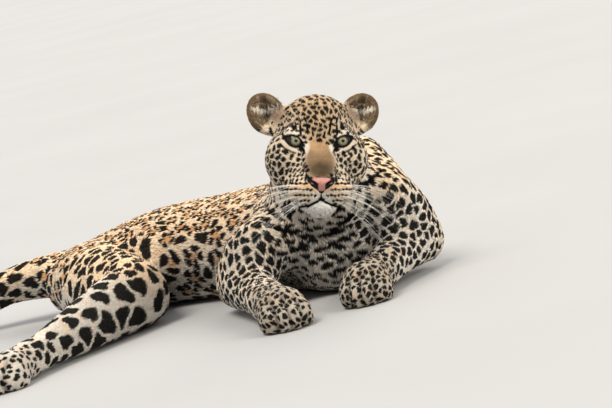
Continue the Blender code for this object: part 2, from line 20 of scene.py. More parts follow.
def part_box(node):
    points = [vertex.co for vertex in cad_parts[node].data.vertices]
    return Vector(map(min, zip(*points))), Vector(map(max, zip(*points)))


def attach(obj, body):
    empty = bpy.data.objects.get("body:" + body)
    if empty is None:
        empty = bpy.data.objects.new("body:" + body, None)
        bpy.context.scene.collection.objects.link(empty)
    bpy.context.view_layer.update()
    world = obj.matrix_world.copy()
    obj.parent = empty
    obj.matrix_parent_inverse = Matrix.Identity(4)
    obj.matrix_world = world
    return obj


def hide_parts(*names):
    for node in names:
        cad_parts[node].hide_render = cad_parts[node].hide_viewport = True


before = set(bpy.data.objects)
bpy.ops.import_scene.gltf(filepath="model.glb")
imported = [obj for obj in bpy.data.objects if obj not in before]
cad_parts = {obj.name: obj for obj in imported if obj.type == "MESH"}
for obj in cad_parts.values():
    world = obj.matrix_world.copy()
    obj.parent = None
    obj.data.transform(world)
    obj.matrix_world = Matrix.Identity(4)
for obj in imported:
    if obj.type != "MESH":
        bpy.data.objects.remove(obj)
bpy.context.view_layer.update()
LOG = logging.getLogger("leopard")

Colour = tuple[float, float, float]
Point = tuple[float, float, float]
Flat = tuple[float, float]
Rows = np.ndarray
Chance = np.random.Generator
Piece = bpy.types.Object
Mesh = bpy.types.Mesh
Material = bpy.types.Material
Tree = bpy.types.NodeTree
Socket = bpy.types.NodeSocket
MM = 0.001
BODY = "root"
BAKE_MAP = "OFBake"
COLOUR = "coat_colour"
SIDES = (1, -1)  # the head's left side and its right one
NEARBY = tuple(itertools.product((-1, 0, 1), repeat=3))  # from a cell to itself and those round it


class Joining(Enum):
    """What a Boolean does with the second form."""

    ADD = "UNION"
    CUT = "DIFFERENCE"


class Slot(Enum):
    """The name of a finish for a piece of the coat."""

    GOLD = "coat_gold"
    PALE = "coat_pale"


class Half(Enum):
    """Which part of the head a piece of the coat covers."""

    WHOLE = "whole"
    FRONT = "front"
    BACK = "back"


# ---- small tools
def srgb(red: int, green: int, blue: int) -> Colour:
    """Turns a screen colour, 0 to 255, into the linear one that shaders take."""
    return tuple((part / 255.0) ** 2.2 for part in (red, green, blue))


def unit(rows: Rows) -> Rows:
    """Gives each row length one."""
    return rows / np.maximum(np.linalg.norm(rows, axis=-1, keepdims=True), 1e-12)


def ease(low: float, high: float, values: Rows) -> Rows:
    """Rises smoothly from 0 at low to 1 at high."""
    share = np.clip((values - low) / (high - low), 0, 1)
    return share * share * (3 - 2 * share)


def mix(first: Rows, second: Rows, share: Rows) -> Rows:
    """Blends rows of colours by a share for each row."""
    return first + (np.asarray(second) - first) * share[:, None]


def plain(colour: Colour, count: int) -> Rows:
    """Rows of one colour."""
    return np.tile(np.array(colour), (count, 1))


def ripple(points: Rows, pitch: float, seed: int = 0, waves: int = 6) -> Rows:
    """A cheap smooth noise from -1 to 1 over space.

    Args:
        points: Rows of places.
        pitch: How wide its lumps are.
        seed: Which noise it is.
        waves: How many waves cross.

    Returns:
        A value for each row.
    """
    rng = np.random.default_rng(seed)
    total = np.zeros(len(points))
    for _ in range(waves):
        wave = unit(rng.normal(size=3)) * rng.uniform(0.7, 1.6) * 2 * math.pi / (2 * pitch)
        total += np.sin(points @ wave + rng.uniform(0, 2 * math.pi))
    return total / (waves / 2)


def rows_of(items: Iterable, name: str, width: int, kind: type = np.float32) -> Rows:
    """Reads one property of a mesh's items.

    Args:
        items: The vertices, edges or triangles.
        name: The property.
        width: How many numbers each item has.
        kind: The numbers' kind.

    Returns:
        A row for each item.
    """
    rows = np.empty(len(items) * width, kind)
    items.foreach_get(name, rows)
    return rows.reshape(-1, width)


def vertex_rows(mesh: Mesh) -> Rows:
    """The mesh's vertices as rows of x, y, z."""
    return rows_of(mesh.vertices, "co", 3).astype(np.float64)


def triangle_rows(mesh: Mesh) -> Rows:
    """The mesh's triangles as rows of three vertex numbers."""
    mesh.calc_loop_triangles()
    return rows_of(mesh.loop_triangles, "vertices", 3, np.int32)


def place_vertices(mesh: Mesh, rows: Rows) -> None:
    """Moves the mesh's vertices."""
    mesh.vertices.foreach_set("co", rows.astype(np.float32).ravel())
    mesh.update()


def mesh_of(name: str, points: Rows, faces: Rows) -> Mesh:
    """A mesh of many faces of one size, made from arrays.

    Args:
        name: The mesh's name.
        points: Rows of x, y, z.
        faces: Rows of vertex numbers, all of one length.

    Returns:
        The new mesh.
    """
    mesh = bpy.data.meshes.new(name)
    sides = faces.shape[1]
    mesh.vertices.add(len(points))
    mesh.vertices.foreach_set("co", points.astype(np.float32).ravel())
    mesh.loops.add(faces.size)
    mesh.loops.foreach_set("vertex_index", faces.astype(np.int32).ravel())
    mesh.polygons.add(len(faces))
    mesh.polygons.foreach_set("loop_start", np.arange(0, faces.size, sides, dtype=np.int32))
    mesh.update(calc_edges=True)
    return mesh


def mesh_from(bm: bmesh.types.BMesh, name: str) -> Mesh:
    """A mesh of what a bmesh holds, which is then freed.

    Args:
        bm: The bmesh.
        name: The mesh's name.

    Returns:
        The new mesh.
    """
    mesh = bpy.data.meshes.new(name)
    bm.to_mesh(mesh)
    bm.free()
    return mesh


def ball(name: str, subdivisions: int) -> Mesh:
    """A ball of radius 1, made of even triangles.

    Args:
        name: The mesh's name.
        subdivisions: How often its triangles are parted.

    Returns:
        The new mesh.
    """
    bm = bmesh.new()
    bmesh.ops.create_icosphere(bm, subdivisions=subdivisions, radius=1.0)
    return mesh_from(bm, name)


def turn_outwards(mesh: Mesh) -> None:
    """Turns the faces of a closed mesh outwards and shades them smooth.

    Args:
        mesh: The mesh, changed in place.
    """
    bm = bmesh.new()
    bm.from_mesh(mesh)
    bmesh.ops.recalc_face_normals(bm, faces=bm.faces)
    bm.to_mesh(mesh)
    bm.free()
    mesh.shade_smooth()


def object_of(mesh: Mesh) -> Piece:
    """Links a mesh into the scene under its own name.

    Args:
        mesh: The mesh.

    Returns:
        The object.
    """
    piece = bpy.data.objects.new(mesh.name, mesh)
    bpy.context.scene.collection.objects.link(piece)
    return piece


def apply_modifiers(piece: Piece) -> None:
    """Replaces the piece's mesh with what its modifiers make of it.

    Args:
        piece: The object, whose modifiers are then gone.
    """
    bpy.context.view_layer.update()
    graph = bpy.context.evaluated_depsgraph_get()
    made = bpy.data.meshes.new_from_object(piece.evaluated_get(graph))
    made.name = piece.data.name
    piece.modifiers.clear()
    piece.data = made


def boolean(piece: Piece, other: Piece, joining: Joining) -> None:
    """Applies one Boolean to the piece and removes the other object.

    Args:
        piece: The object that is changed.
        other: The object that is used up.
        joining: What is done with the other one.
    """
    modifier = piece.modifiers.new(joining.name, "BOOLEAN")
    modifier.operation = joining.value
    modifier.solver = "MANIFOLD"
    modifier.object = other
    apply_modifiers(piece)
    bpy.data.objects.remove(other)


def settle_faces(mesh: Mesh) -> None:
    """Lays the faces in a fixed order, since a Boolean's own order differs from run to run.

    Args:
        mesh: The mesh, changed in place.
    """
    points = vertex_rows(mesh).tolist()
    rings = [tuple(face.vertices) for face in mesh.polygons]
    starts = [ring.index(min(ring)) for ring in rings]
    rings = sorted(ring[start:] + ring[:start] for ring, start in zip(rings, starts))
    mesh.clear_geometry()
    mesh.from_pydata(points, [], rings)


def melt(piece: Piece, voxel: float) -> None:
    """Remeshes the piece's closed forms as one surface.

    Args:
        piece: The object that is changed.
        voxel: The length of a step of the new surface.
    """
    remesh = piece.modifiers.new("Melt", "REMESH")
    remesh.mode = "VOXEL"
    remesh.voxel_size = voxel
    apply_modifiers(piece)


class Net:
    """The edges of a mesh, for smoothing any value that its vertices carry."""

    def __init__(self, mesh: Mesh) -> None:
        """Reads the edges both ways.

        Args:
            mesh: The mesh.
        """
        edges = rows_of(mesh.edges, "vertices", 2, np.int32)
        self.count = len(mesh.vertices)
        self.ends = np.concatenate([edges[:, 0], edges[:, 1]])
        self.others = np.concatenate([edges[:, 1], edges[:, 0]])
        self.degree = np.maximum(np.bincount(self.ends, minlength=self.count), 1)

    def average(self, rows: Rows) -> Rows:
        """The mean of each vertex's neighbours."""
        columns = [np.bincount(self.ends, column[self.others], self.count) for column in rows.T]
        return np.stack(columns, axis=1) / self.degree[:, None]

    def smooth(self, rows: Rows, steps: int, share: Rows | float = 0.5) -> Rows:
        """Moves each row towards its neighbours' mean, a number of times.

        Args:
            rows: A row of values for each vertex.
            steps: How often they are moved.
            share: How far they move each time, for all or for each.

        Returns:
            The new rows.
        """
        share = np.broadcast_to(np.asarray(share, float), (self.count,))[:, None]
        for _ in range(steps):
            rows = rows + (self.average(rows) - rows) * share
        return rows


def crossed(corners: Rows) -> Rows:
    """Each triangle's normal, twice as long as the triangle is large."""
    return np.cross(corners[:, 1] - corners[:, 0], corners[:, 2] - corners[:, 0])


def scattered(rng: Chance, count: int) -> Rows:
    """Even chance places in triangles, as rows of three corner weights."""
    share, slide = np.sqrt(rng.random(count)), rng.random(count)
    return np.stack([1 - share, share * (1 - slide), share * slide], axis=1)


def weighted(corners: Rows, weights: Rows) -> Rows:
    """The place or value in each triangle that the weights give."""
    return (corners * weights[:, :, None]).sum(axis=1)


def vertex_normals(points: Rows, triangles: Rows) -> Rows:
    """Normals of the vertices, weighted by the triangles' areas.

    Args:
        points: Rows of places.
        triangles: Rows of three vertex numbers.

    Returns:
        A row of length one for each vertex.
    """
    faces = crossed(points[triangles])
    total = np.zeros_like(points)
    for corner in range(3):
        for axis in range(3):
            total[:, axis] += np.bincount(triangles[:, corner], faces[:, axis], len(points))
    return unit(total)


# ---- the head
def turned(turn: Point, side: int = 1) -> Matrix:
    """The rotation that a turn in degrees gives on one side of the head."""
    return Euler([math.radians(angle * way) for angle, way in zip(turn, (1, side, side))]).to_matrix()


@dataclass(frozen=True)
class Mass:
    """An oval mass of the head, in head units; a paired one is on both its sides."""

    centre: Point
    sizes: Point
    turn: Point = (0.0, 0.0, 0.0)
    paired: bool = False


@dataclass(frozen=True)
class Bar:
    """A tapered round bar of the head, always paired, in head units."""

    start: Point
    start_radius: float
    end: Point
    end_radius: float


@dataclass
class Head:
    """The head's axes and its form.

    X runs to the head's left, Y back and Z up from between the eyes, in units of about a millimetre.
    """

    lean: float = 13.5
    raised: float = 6.0
    turned: float = 4.5
    eye: Point = (38.0, 10.0, 0.0)
    eye_radius: float = 15.5
    lid: float = 4.4
    blend: float = 4.6
    core: Point = (0.0, 22.0, -25.0)
    reach: float = 190.0
    surface_steps: int = 34
    surface_stride: float = 0.75
    front_steps: int = 40
    front_stride: float = 0.8
    masses: tuple[Mass, ...] = (
        Mass((0, 62, 18), (66, 64, 63)),
        Mass((0, 33, 23), (48, 37, 45)),
        Mass((33, 15, 13), (22, 18, 12), (0, 14, -16), True),
        Mass((50, 42, -27), (36, 43, 47), (0, -8, 0), True),
        Mass((38, 18, -24), (24, 22, 16), (0, 10, -20), True),
        Mass((0, 52, -64), (68, 50, 43)),
        Mass((0, -14, -74), (42, 40, 30)),
        Mass((24, -32, -83), (27, 29, 22), (0, -10, -12), True),
        Mass((0, -51, -70), (22, 17, 12), (-20, 0, 0)),
        Mass((0, -31, -108), (26, 23, 19)),
        Mass((0, 8, -94), (42, 48, 26)),
        Mass((53, 65, 27), (19, 18, 31), (0, 25, 0), True),
    )
    bars: tuple[Bar, ...] = (
        Bar((12, 22, 2), 20, (12, -36, -56), 16),
        Bar((33, 18, -28), 20, (24, -16, -68), 20),
        Bar((44, 26, -52), 22, (30, -10, -84), 22),
    )

    def __post_init__(self) -> None:
        """Finds the head's axes from the two eyes' solids."""
        left, right = (sum(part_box(f"eye_{side}"), Vector()) / 2 for side in ("left", "right"))
        self.unit = (left - right).length / (2 * self.eye[0])
        turns = zip((-self.raised, self.lean, self.turned), "XYZ")
        rotation = Matrix.Identity(3)
        for angle, axis in turns:
            rotation = rotation @ Matrix.Rotation(math.radians(angle), 3, axis)
        middle = (left + right) / 2 - rotation @ Vector((0, self.eye[1], self.eye[2])) * self.unit
        self.matrix = Matrix.Translation(middle) @ rotation.to_4x4() @ Matrix.Scale(self.unit, 4)

    def world(self, rows: Iterable) -> Rows:
        """Turns rows in head units into places."""
        rows = np.atleast_2d(np.asarray(rows, float))
        return rows @ np.array(self.matrix.to_3x3()).T + np.array(self.matrix.translation)

    def local(self, rows: Rows) -> Rows:
        """Turns places into head units."""
        inverse = self.matrix.inverted()
        return rows @ np.array(inverse.to_3x3()).T + np.array(inverse.translation)

    def distance(self, rows: Rows) -> Rows:
        """How far each row, in head units, lies outside the head.

        Args:
            rows: Places in head units.

        Returns:
            The distances, under 0 inside.
        """
        fields = []
        for mass in self.masses:
            for side in SIDES if mass.paired else SIDES[:1]:
                local = (rows - np.array(mass.centre) * (side, 1, 1)) @ np.array(turned(mass.turn, side))
                near = np.linalg.norm(local / mass.sizes, axis=1)
                steep = np.linalg.norm(local / np.square(mass.sizes), axis=1)
                fields.append(near * (near - 1) / np.maximum(steep, 1e-9))
        for bar in self.bars:
            for side in SIDES:
                first, second = (np.array(end) * (side, 1, 1) for end in (bar.start, bar.end))
                axis = second - first
                share = np.clip((rows - first) @ axis / (axis @ axis), 0, 1)
                radius = bar.start_radius + share * (bar.end_radius - bar.start_radius)
                fields.append(np.linalg.norm(rows - first - share[:, None] * axis, axis=1) - radius)
        for side in SIDES:
            centre = np.array(self.eye) * (side, 1, 1)
            fields.append(np.linalg.norm(rows - centre, axis=1) - self.eye_radius - self.lid)
        stack = np.array(fields)
        lowest = stack.min(axis=0)
        melted = np.log(np.exp((lowest - stack) / self.blend).sum(axis=0))
        return lowest - self.blend * (melted - 0.5)

    def surface(self, rays: Rows, depth: Rows | float = 0.0) -> Rows:
        """Where rays from the head's core meet its form, less a depth, in head units.

        Args:
            rays: Rows of directions of length one.
            depth: How far inside the form to stop.

        Returns:
            Rows of places.
        """
        core = np.array(self.core)
        reach = np.full(len(rays), self.reach)
        for _ in range(self.surface_steps):
            reach -= self.surface_stride * (self.distance(core + rays * reach[:, None]) + depth)
        return core + rays * reach[:, None]

    def front_of(self, flat: Rows, start: float, depth: float) -> Rows:
        """Where straight lines from in front of the face meet the head.

        Args:
            flat: Rows of x and z.
            start: The y at which the lines start.
            depth: How far inside the form to stop.

        Returns:
            Rows of places in head units.
        """
        places = np.stack([flat[:, 0], np.full(len(flat), start), flat[:, 1]], axis=1)
        for _ in range(self.front_steps):
            places[:, 1] += self.front_stride * np.clip(self.distance(places) + depth, -20, 20)
        return places


def segment_distance(rows: Rows, line: Sequence[Flat]) -> Rows:
    """Distances from an open line in the plane of the face.

    Args:
        rows: Rows of x and z.
        line: The line's points, as x and z.

    Returns:
        A distance for each row.
    """
    nearest = np.full(len(rows), 1e9)
    for start, end in zip(line, line[1:]):
        first, axis = np.array(start, float), np.subtract(end, start).astype(float)
        share = np.clip((rows - first) @ axis / (axis @ axis), 0, 1)
        nearest = np.minimum(nearest, np.linalg.norm(rows - first - share[:, None] * axis, axis=1))
    return nearest


# ---- the skin
@dataclass
class Ear:
    """One ear: a deep cup with a rounded rim, in head units on the head's left."""

    centre: Point = (77.0, 64.0, 43.0)
    sizes: Point = (31.0, 16.0, 38.0)
    cup: Point = (77.0, 50.0, 43.0)
    cup_sizes: Point = (23.0, 18.0, 30.0)
    turn: Point = (-8.0, 36.0, -16.0)
    shift: Flat = (-7.0, 2.0)
    segments: int = 48

    def place(self, side: int) -> float:
        """How far this side's ear is let out from its usual place."""
        return self.shift[0] if side > 0 else self.shift[1]

    def build(self, head: Head, side: int, depth: float) -> Piece:
        """Makes the closed form of one ear.

        Args:
            head: The head it stands on.
            side: 1 for the head's left ear, -1 for its right one.
            depth: How far the form stays inside the solid one, in head units.

        Returns:
            The ear as an object of its own.
        """
        turn = turned(self.turn, side).to_4x4()
        forms = []
        for centre, sizes, shrink in ((self.centre, self.sizes, depth), (self.cup, self.cup_sizes, 0)):
            bm = bmesh.new()
            place = Matrix.Translation((side * (centre[0] + self.place(side)), centre[1], centre[2]))
            scale = Matrix.Diagonal([size - shrink for size in sizes]).to_4x4()
            bmesh.ops.create_uvsphere(
                bm,
                u_segments=self.segments,
                v_segments=self.segments * 2 // 3,
                radius=1.0,
                matrix=head.matrix @ place @ turn @ scale,
            )
            bmesh.ops.recalc_face_normals(bm, faces=bm.faces)
            forms.append(object_of(mesh_from(bm, "ear form")))
        boolean(forms[0], forms[1], Joining.CUT)
        settle_faces(forms[0].data)
        return forms[0]


@dataclass
class Face:
    """The lines of the face as (x, z) in head units, on the head's left where they are paired.

    opening holds an eye's x, z, half length, half height and tilt, and pinch narrows its corners.
    nose holds the leather's half width at each height; its top rises by wing_rise at wing_reach.
    """

    opening: tuple[float, float, float, float, float] = (40.3, -0.6, 15.8, 8.3, 25.0)
    pinch: float = 0.35
    nose: tuple[Flat, ...] = (
        (-60.0, 17.0),
        (-63.0, 22.5),
        (-67.0, 23.5),
        (-71.0, 21.0),
        (-75.0, 15.0),
        (-78.0, 9.0),
        (-81.0, 5.0),
        (-84.0, 3.6),
    )
    wing_rise: float = 3.4
    wing_reach: float = 22.0
    mouth: tuple[Flat, ...] = ((0, -95), (8, -99.5), (19, -104.5), (30, -106.5), (40, -104), (48, -98))
    philtrum: tuple[Flat, ...] = ((0, -80), (0, -95))
    mouth_depth: float = 3.6
    jaw_core: Point = (0.0, 10.0, -92.0)

    def opening_line(self, side: int, grow: float = 0.0, count: int = 48) -> list[Flat]:
        """The almond of one eye's opening, its outer corner higher.

        Args:
            side: 1 for the head's left eye, -1 for its right one.
            grow: How far outside the opening the line runs.
            count: The number of points.

        Returns:
            Points of the closed line.
        """
        x, z, length, height, tilt = self.opening
        angle = math.radians(tilt)
        line = []
        for step in range(count):
            turn = 2 * math.pi * step / count
            along = (length + grow) * math.cos(turn)
            across = (height + grow) * math.sin(turn) * (1 - self.pinch * math.cos(turn) ** 2)
            out = x + along * math.cos(angle) - across * math.sin(angle)
            line.append((side * out, z + along * math.sin(angle) + across * math.cos(angle)))
        return line

    def opening_share(self, rows: Rows, side: int) -> Rows:
        """How far places lie out from the middle of an eye's opening.

        Args:
            rows: Rows of x and z.
            side: 1 for the head's left eye, -1 for its right one.

        Returns:
            Shares, 1 on the opening's edge.
        """
        x, z, length, height, tilt = self.opening
        angle = math.radians(tilt)
        across_x, up = rows[:, 0] * side - x, rows[:, 1] - z
        along = (across_x * math.cos(angle) + up * math.sin(angle)) / length
        across = (up * math.cos(angle) - across_x * math.sin(angle)) / height
        narrow = 1 - self.pinch * np.clip(along, -1, 1) ** 2
        return np.hypot(along, across / narrow)

    def nose_edge(self, flat: Rows) -> Rows:
        """How far inside the nose's leather places lie.

        Args:
            flat: Rows of x and z.

        Returns:
            Depths in head units, under 0 outside.
        """
        heights, halves = (np.array(column) for column in zip(*self.nose))
        lifted = flat[:, 1] - self.wing_rise * np.clip(np.abs(flat[:, 0]) / self.wing_reach, 0, 1) ** 3
        inside = np.interp(-lifted, -heights, halves) - np.abs(flat[:, 0])
        return np.minimum(inside, np.minimum(heights[0] - lifted, lifted - heights[-1]))

    def mouth_line(self) -> list[Flat]:
        """The whole line of the mouth from one corner to the other."""
        return [(-x, z) for x, z in reversed(self.mouth[1:])] + list(self.mouth)


FLESH = tuple(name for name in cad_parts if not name.startswith(("eye_", "ear_", "nose")))
# The way each paw points, in degrees from the body's x axis
HEADINGS = {"forepaw_right": -81.6, "forepaw_left": -103.0, "hindpaw_right": -116.2, "hindpaw_left": 1.7}


@dataclass
class Paw:
    """Where one paw's toes lie, from its solid and the way it points.

    toes and grooves are the shares of its length, from -0.5 to 0.5, over which they set in, and
    spread says how the grooves part towards the front.
    """

    name: str
    gaps: tuple[float, ...] = (-0.45, 0.0, 0.45)
    spread: Flat = (0.86, 0.3)
    width: float = 2.6 * MM
    margin: float = 6 * MM
    toes: Flat = (-0.38, 0.02)
    grooves: Flat = (0.04, 0.26)

    def __post_init__(self) -> None:
        """Measures the paw's solid along and across the way it points."""
        angle = math.radians(HEADINGS[self.name])
        self.ahead = np.array((math.cos(angle), math.sin(angle), 0.0))
        self.side = np.array((-math.sin(angle), math.cos(angle), 0.0))
        rows = vertex_rows(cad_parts[self.name].data)
        self.low, self.high = rows.min(axis=0) - self.margin, rows.max(axis=0) + self.margin
        along, over = rows @ self.ahead, rows @ self.side
        front = over[along > along.mean()]
        self.length, self.half = np.ptp(along), np.ptp(front) / 2
        self.middle = [np.mean((values.min(), values.max())) for values in (along, front)]

    def place(self, rows: Rows) -> tuple[Rows, Rows]:
        """How far ahead and how far to the side each row lies, from -0.5 to 0.5 and from -1 to 1."""
        ahead, over = self.middle
        return (rows @ self.ahead - ahead) / self.length, (rows @ self.side - over) / self.half

    def toward_toes(self, rows: Rows) -> Rows:
        """0 at the paw's end next to the leg, 1 over its toes."""
        return ease(*self.toes, self.place(rows)[0])

    def groove(self, rows: Rows) -> Rows:
        """Finds the grooves between the toes.

        Args:
            rows: Rows of places.

        Returns:
            1 in a groove, 0 away from all.
        """
        ahead, over = self.place(rows)
        spread = self.spread[0] + self.spread[1] * ahead
        reach = np.min([np.abs(over - gap * spread) for gap in self.gaps], axis=0) * self.half
        inside = ((rows > self.low) & (rows < self.high)).all(axis=1)
        return np.exp(-np.square(reach / self.width)) * ease(*self.grooves, ahead) * inside


@dataclass
class Skin:
    """One skin over all the flesh, inside the solids by the coat's depth.

    heel_sunk and toe_rise say in millimetres how far a paw's finer form dives into the leg and
    rises over the toes. scalp_depth, face_depth and the sizes of lids, lips and nose are in head
    units. Inside the finer head, which starts at cut, the body's form shrinks towards skull.
    """

    head: Head
    face: Face
    ear: Ear
    voxel: float = 5.4 * MM
    paw_voxel: float = 3.2 * MM
    body_depth: float = 3.5 * MM
    paw_depth: float = 1.5 * MM
    toe_depth: float = 5.0 * MM
    paw_keep: float = 0.93
    paw_reach: float = 30.0 * MM
    heel_sunk: float = 6.5
    toe_rise: float = 5.0
    groove_depth: float = 3.2
    face_depth: float = 1.0
    scalp_depth: float = 1.4
    smooth_steps: int = 22
    paw_steps: int = 6
    lip_steps: int = 8
    neck_steps: int = 30
    facing: float = 0.42
    skull: Point = (0.0, 62.0, -34.0)
    skull_shrink: float = 0.30
    cut: Point = (0.0, 84.0, -36.0)
    cut_way: Point = (0.0, -0.923, 0.385)
    lid_lift: float = 2.2
    lid_roll: float = 3.0
    socket_depth: float = 5.0
    lip_parting: float = 2.0
    leather_depth: float = 7.0

    def __post_init__(self) -> None:
        """Measures the paws."""
        self.paws = [Paw(name) for name in HEADINGS]

    def paw_form(self, paw: Paw) -> Piece:
        """A finer form of one paw, with its toes, that dives into the leg at its other end.

        Args:
            paw: The paw.

        Returns:
            The form as an object of its own.
        """
        form = object_of(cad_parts[paw.name].data.copy())
        melt(form, self.paw_voxel)
        rows = Net(form.data).smooth(vertex_rows(form.data), self.paw_steps)
        normals = vertex_normals(rows, triangle_rows(form.data))
        sunk = self.heel_sunk - self.toe_rise * paw.toward_toes(rows)
        sunk += self.groove_depth * paw.groove(rows) * (normals[:, 2] > -0.6)
        place_vertices(form.data, rows - normals * (sunk * MM)[:, None])
        return form

    def build(self) -> Piece:
        """Builds the whole skin: the body, the finer head and the ears, joined as one surface.

        Returns:
            The skin as one object.
        """
        skin = self.body_form()
        for paw in self.paws:
            boolean(skin, self.paw_form(paw), Joining.ADD)
        boolean(skin, self.head_form(), Joining.ADD)
        for side in SIDES:
            boolean(skin, self.ear.build(self.head, side, self.face_depth), Joining.ADD)
        self.melt_neck(skin)
        skin.name = skin.data.name = "skin"
        return skin

    def body_form(self) -> Piece:
        """The trunk, legs and tail from copies of the solids, melted into one and drawn in.

        Returns:
            The form as an object of its own.
        """
        bm = bmesh.new()
        for name in FLESH:
            bm.from_mesh(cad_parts[name].data)
        bmesh.ops.remove_doubles(bm, verts=bm.verts, dist=0.02 * MM)
        body = object_of(mesh_from(bm, "body form"))
        melt(body, self.voxel)
        rows = vertex_rows(body.data)
        paws = self.near_paws(rows)
        rows = Net(body.data).smooth(rows, self.smooth_steps, 0.5 * (1 - self.paw_keep * paws))
        normals = vertex_normals(rows, triangle_rows(body.data))
        toes = [paw.toward_toes(rows) * (self.near_paws(rows, paw.name) > 0.9) for paw in self.paws]
        depth = self.body_depth + (self.paw_depth - self.body_depth) * paws
        depth += self.toe_depth * np.max(toes, axis=0)
        rows -= normals * depth[:, None]
        local = self.head.local(rows)
        core = np.array(self.skull)
        local = core + (local - core) * (1 - self.skull_shrink * self.inside_head(local))[:, None]
        place_vertices(body.data, self.head.world(local))
        return body

    def near_paws(self, rows: Rows, only: str = "paw") -> Rows:
        """Finds the paws.

        Args:
            rows: Rows of places.
            only: A word that the paws' names hold.

        Returns:
            1 on the paws, falling to 0 behind them.
        """
        share = np.zeros(len(rows))
        for name in FLESH:
            if only in name:
                low, high = (np.array(corner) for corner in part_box(name))
                outside = np.linalg.norm(np.maximum(np.maximum(low - rows, rows - high), 0), axis=1)
                share = np.maximum(share, 1 - ease(0, self.paw_reach, outside))
        return share

    def inside_head(self, local: Rows) -> Rows:
        """1 where the finer head lies over the body's form, 0 behind it, for rows in head units."""
        cut = (local - self.cut) @ np.array(self.cut_way)
        return ease(-18, 10, cut) * (1 - ease(12, 24, self.head.distance(local)))

    def head_form(self) -> Piece:
        """The head with its lids, lips and mouth, as a closed surface that is finest on the face.

        Returns:
            The form as an object of its own.
        """
        mesh = ball("head form", 6)
        rays = unit(unit(vertex_rows(mesh)) + np.array((0, -self.facing, -self.facing * 0.35)))
        toward_face = ease(0.1, 0.8, -rays[:, 1])
        depth = self.scalp_depth + (self.face_depth - self.scalp_depth) * toward_face
        rows = self.head.surface(rays, depth)
        mouth = segment_distance(rows[:, [0, 2]], self.face.mouth_line())
        soften = np.exp(-np.square(mouth / 7.0)) * (rows[:, 1] < 5)
        rows = self.carve(Net(mesh).smooth(rows, self.lip_steps, 0.5 * soften))
        place_vertices(mesh, self.head.world(rows))
        return object_of(mesh)

    def carve(self, rows: Rows) -> Rows:
        """Sinks the eyes' openings and the line of the mouth into the face.

        Args:
            rows: Places in head units.

        Returns:
            The moved rows.
        """
        flat = rows[:, [0, 2]]
        for side in SIDES:
            share = self.face.opening_share(flat, side)
            centre = np.array(self.head.eye) * (side, 1, 1)
            offset = rows - centre
            reach = np.linalg.norm(offset, axis=1)
            near = (1 - ease(22, 27, reach)) * (1 - ease(2, 10, offset[:, 1]))
            lid_reach = self.head.eye_radius + self.lid_lift + self.lid_roll * ease(1.15, 1.9, share)
            lid_share = near * (1 - ease(1.2, 1.9, share))
            lidded = centre + offset * (lid_reach / reach)[:, None]
            rows = rows + (lidded - rows) * lid_share[:, None]
            hole = near * (1 - ease(0.86, 1.04, share))
            sunk = centre + offset * ((self.head.eye_radius - self.socket_depth) / reach)[:, None]
            rows = rows + (sunk - rows) * hole[:, None]
        jaws = 1 - ease(-12, 8, rows[:, 1])
        mouth = segment_distance(flat, self.face.mouth_line())
        groove = np.exp(-np.square(mouth / 2.0)) * self.face.mouth_depth
        middle = segment_distance(flat, self.face.philtrum)
        parting = np.exp(-np.square(middle / 1.6)) * self.lip_parting * (rows[:, 1] < -20)
        groove = np.maximum(groove, parting)
        inward = unit(np.array(self.face.jaw_core) - rows)
        rows = rows + inward * (groove * jaws)[:, None]
        leather = ease(0.3, 2.5, self.face.nose_edge(flat)) * (rows[:, 1] < -20)
        return rows + np.outer(leather * self.leather_depth, (0, 1, 0))

    def melt_neck(self, skin: Piece) -> None:
        """Smooths the line where the head's surface meets the body's.

        Args:
            skin: The joined skin, changed in place.
        """
        rows = vertex_rows(skin.data)
        local = self.head.local(rows)
        zone = ease(40, 75, local[:, 1]) * (1 - ease(150, 200, local[:, 1]))
        ears = ease(14, 24, local[:, 2] * 0.67 + np.abs(local[:, 0]) * 0.74 - 58)
        zone = zone * (1 - ears)
        under = ease(-70, -95, local[:, 2]) * (local[:, 1] > 0)
        zone = np.maximum(zone, under * (np.linalg.norm(local, axis=1) < 220))
        rows = Net(skin.data).smooth(rows, self.neck_steps, 0.5 * zone)
        place_vertices(skin.data, rows)


# ---- the face's markings
@dataclass(frozen=True)
class Patch:
    """A soft oval of colour on the face, in head units; a paired one is on both sides."""

    centre: Flat
    sizes: Flat
    colour: Colour
    strength: float = 1.0
    soft: float = 0.5
    turn: float = 0.0
    paired: bool = True
    bare: bool = False


@dataclass(frozen=True)
class Stroke:
    """A line of colour on the face, in head units; a paired one is on both sides."""

    line: tuple[Flat, ...]
    width: float
    colour: Colour
    strength: float = 1.0
    paired: bool = True


GOLD = srgb(245, 216, 180)
ORANGE = srgb(212, 154, 100)
TAWNY = srgb(230, 187, 138)
SAND = srgb(230, 210, 182)
CREAM = srgb(237, 223, 203)
PALE = srgb(236, 228, 214)
ASH = srgb(218, 210, 197)
# the forepaws' pale coat, darkened as painted shade
SHADED_PAW_PALE = srgb(200, 188, 170)
OLIVE = srgb(138, 110, 72)
INK = srgb(15, 12, 11)
WHITE = srgb(238, 233, 222)
BUFF = srgb(230, 212, 186)
UMBER = srgb(62, 50, 40)
SKIN_SHADE = 0.8
WHISKER_DARK = srgb(214, 206, 190)
WHISKER_LIGHT = srgb(250, 248, 242)
EAR_SKIN = srgb(104, 84, 64)
EAR_HAIR = srgb(186, 172, 146)
EAR_STREAK = srgb(222, 214, 196)
# painted shade for the inside of the ear's cup
EAR_HOLLOW_SHADE = srgb(34, 27, 23)
EAR_RIM = srgb(104, 84, 60)


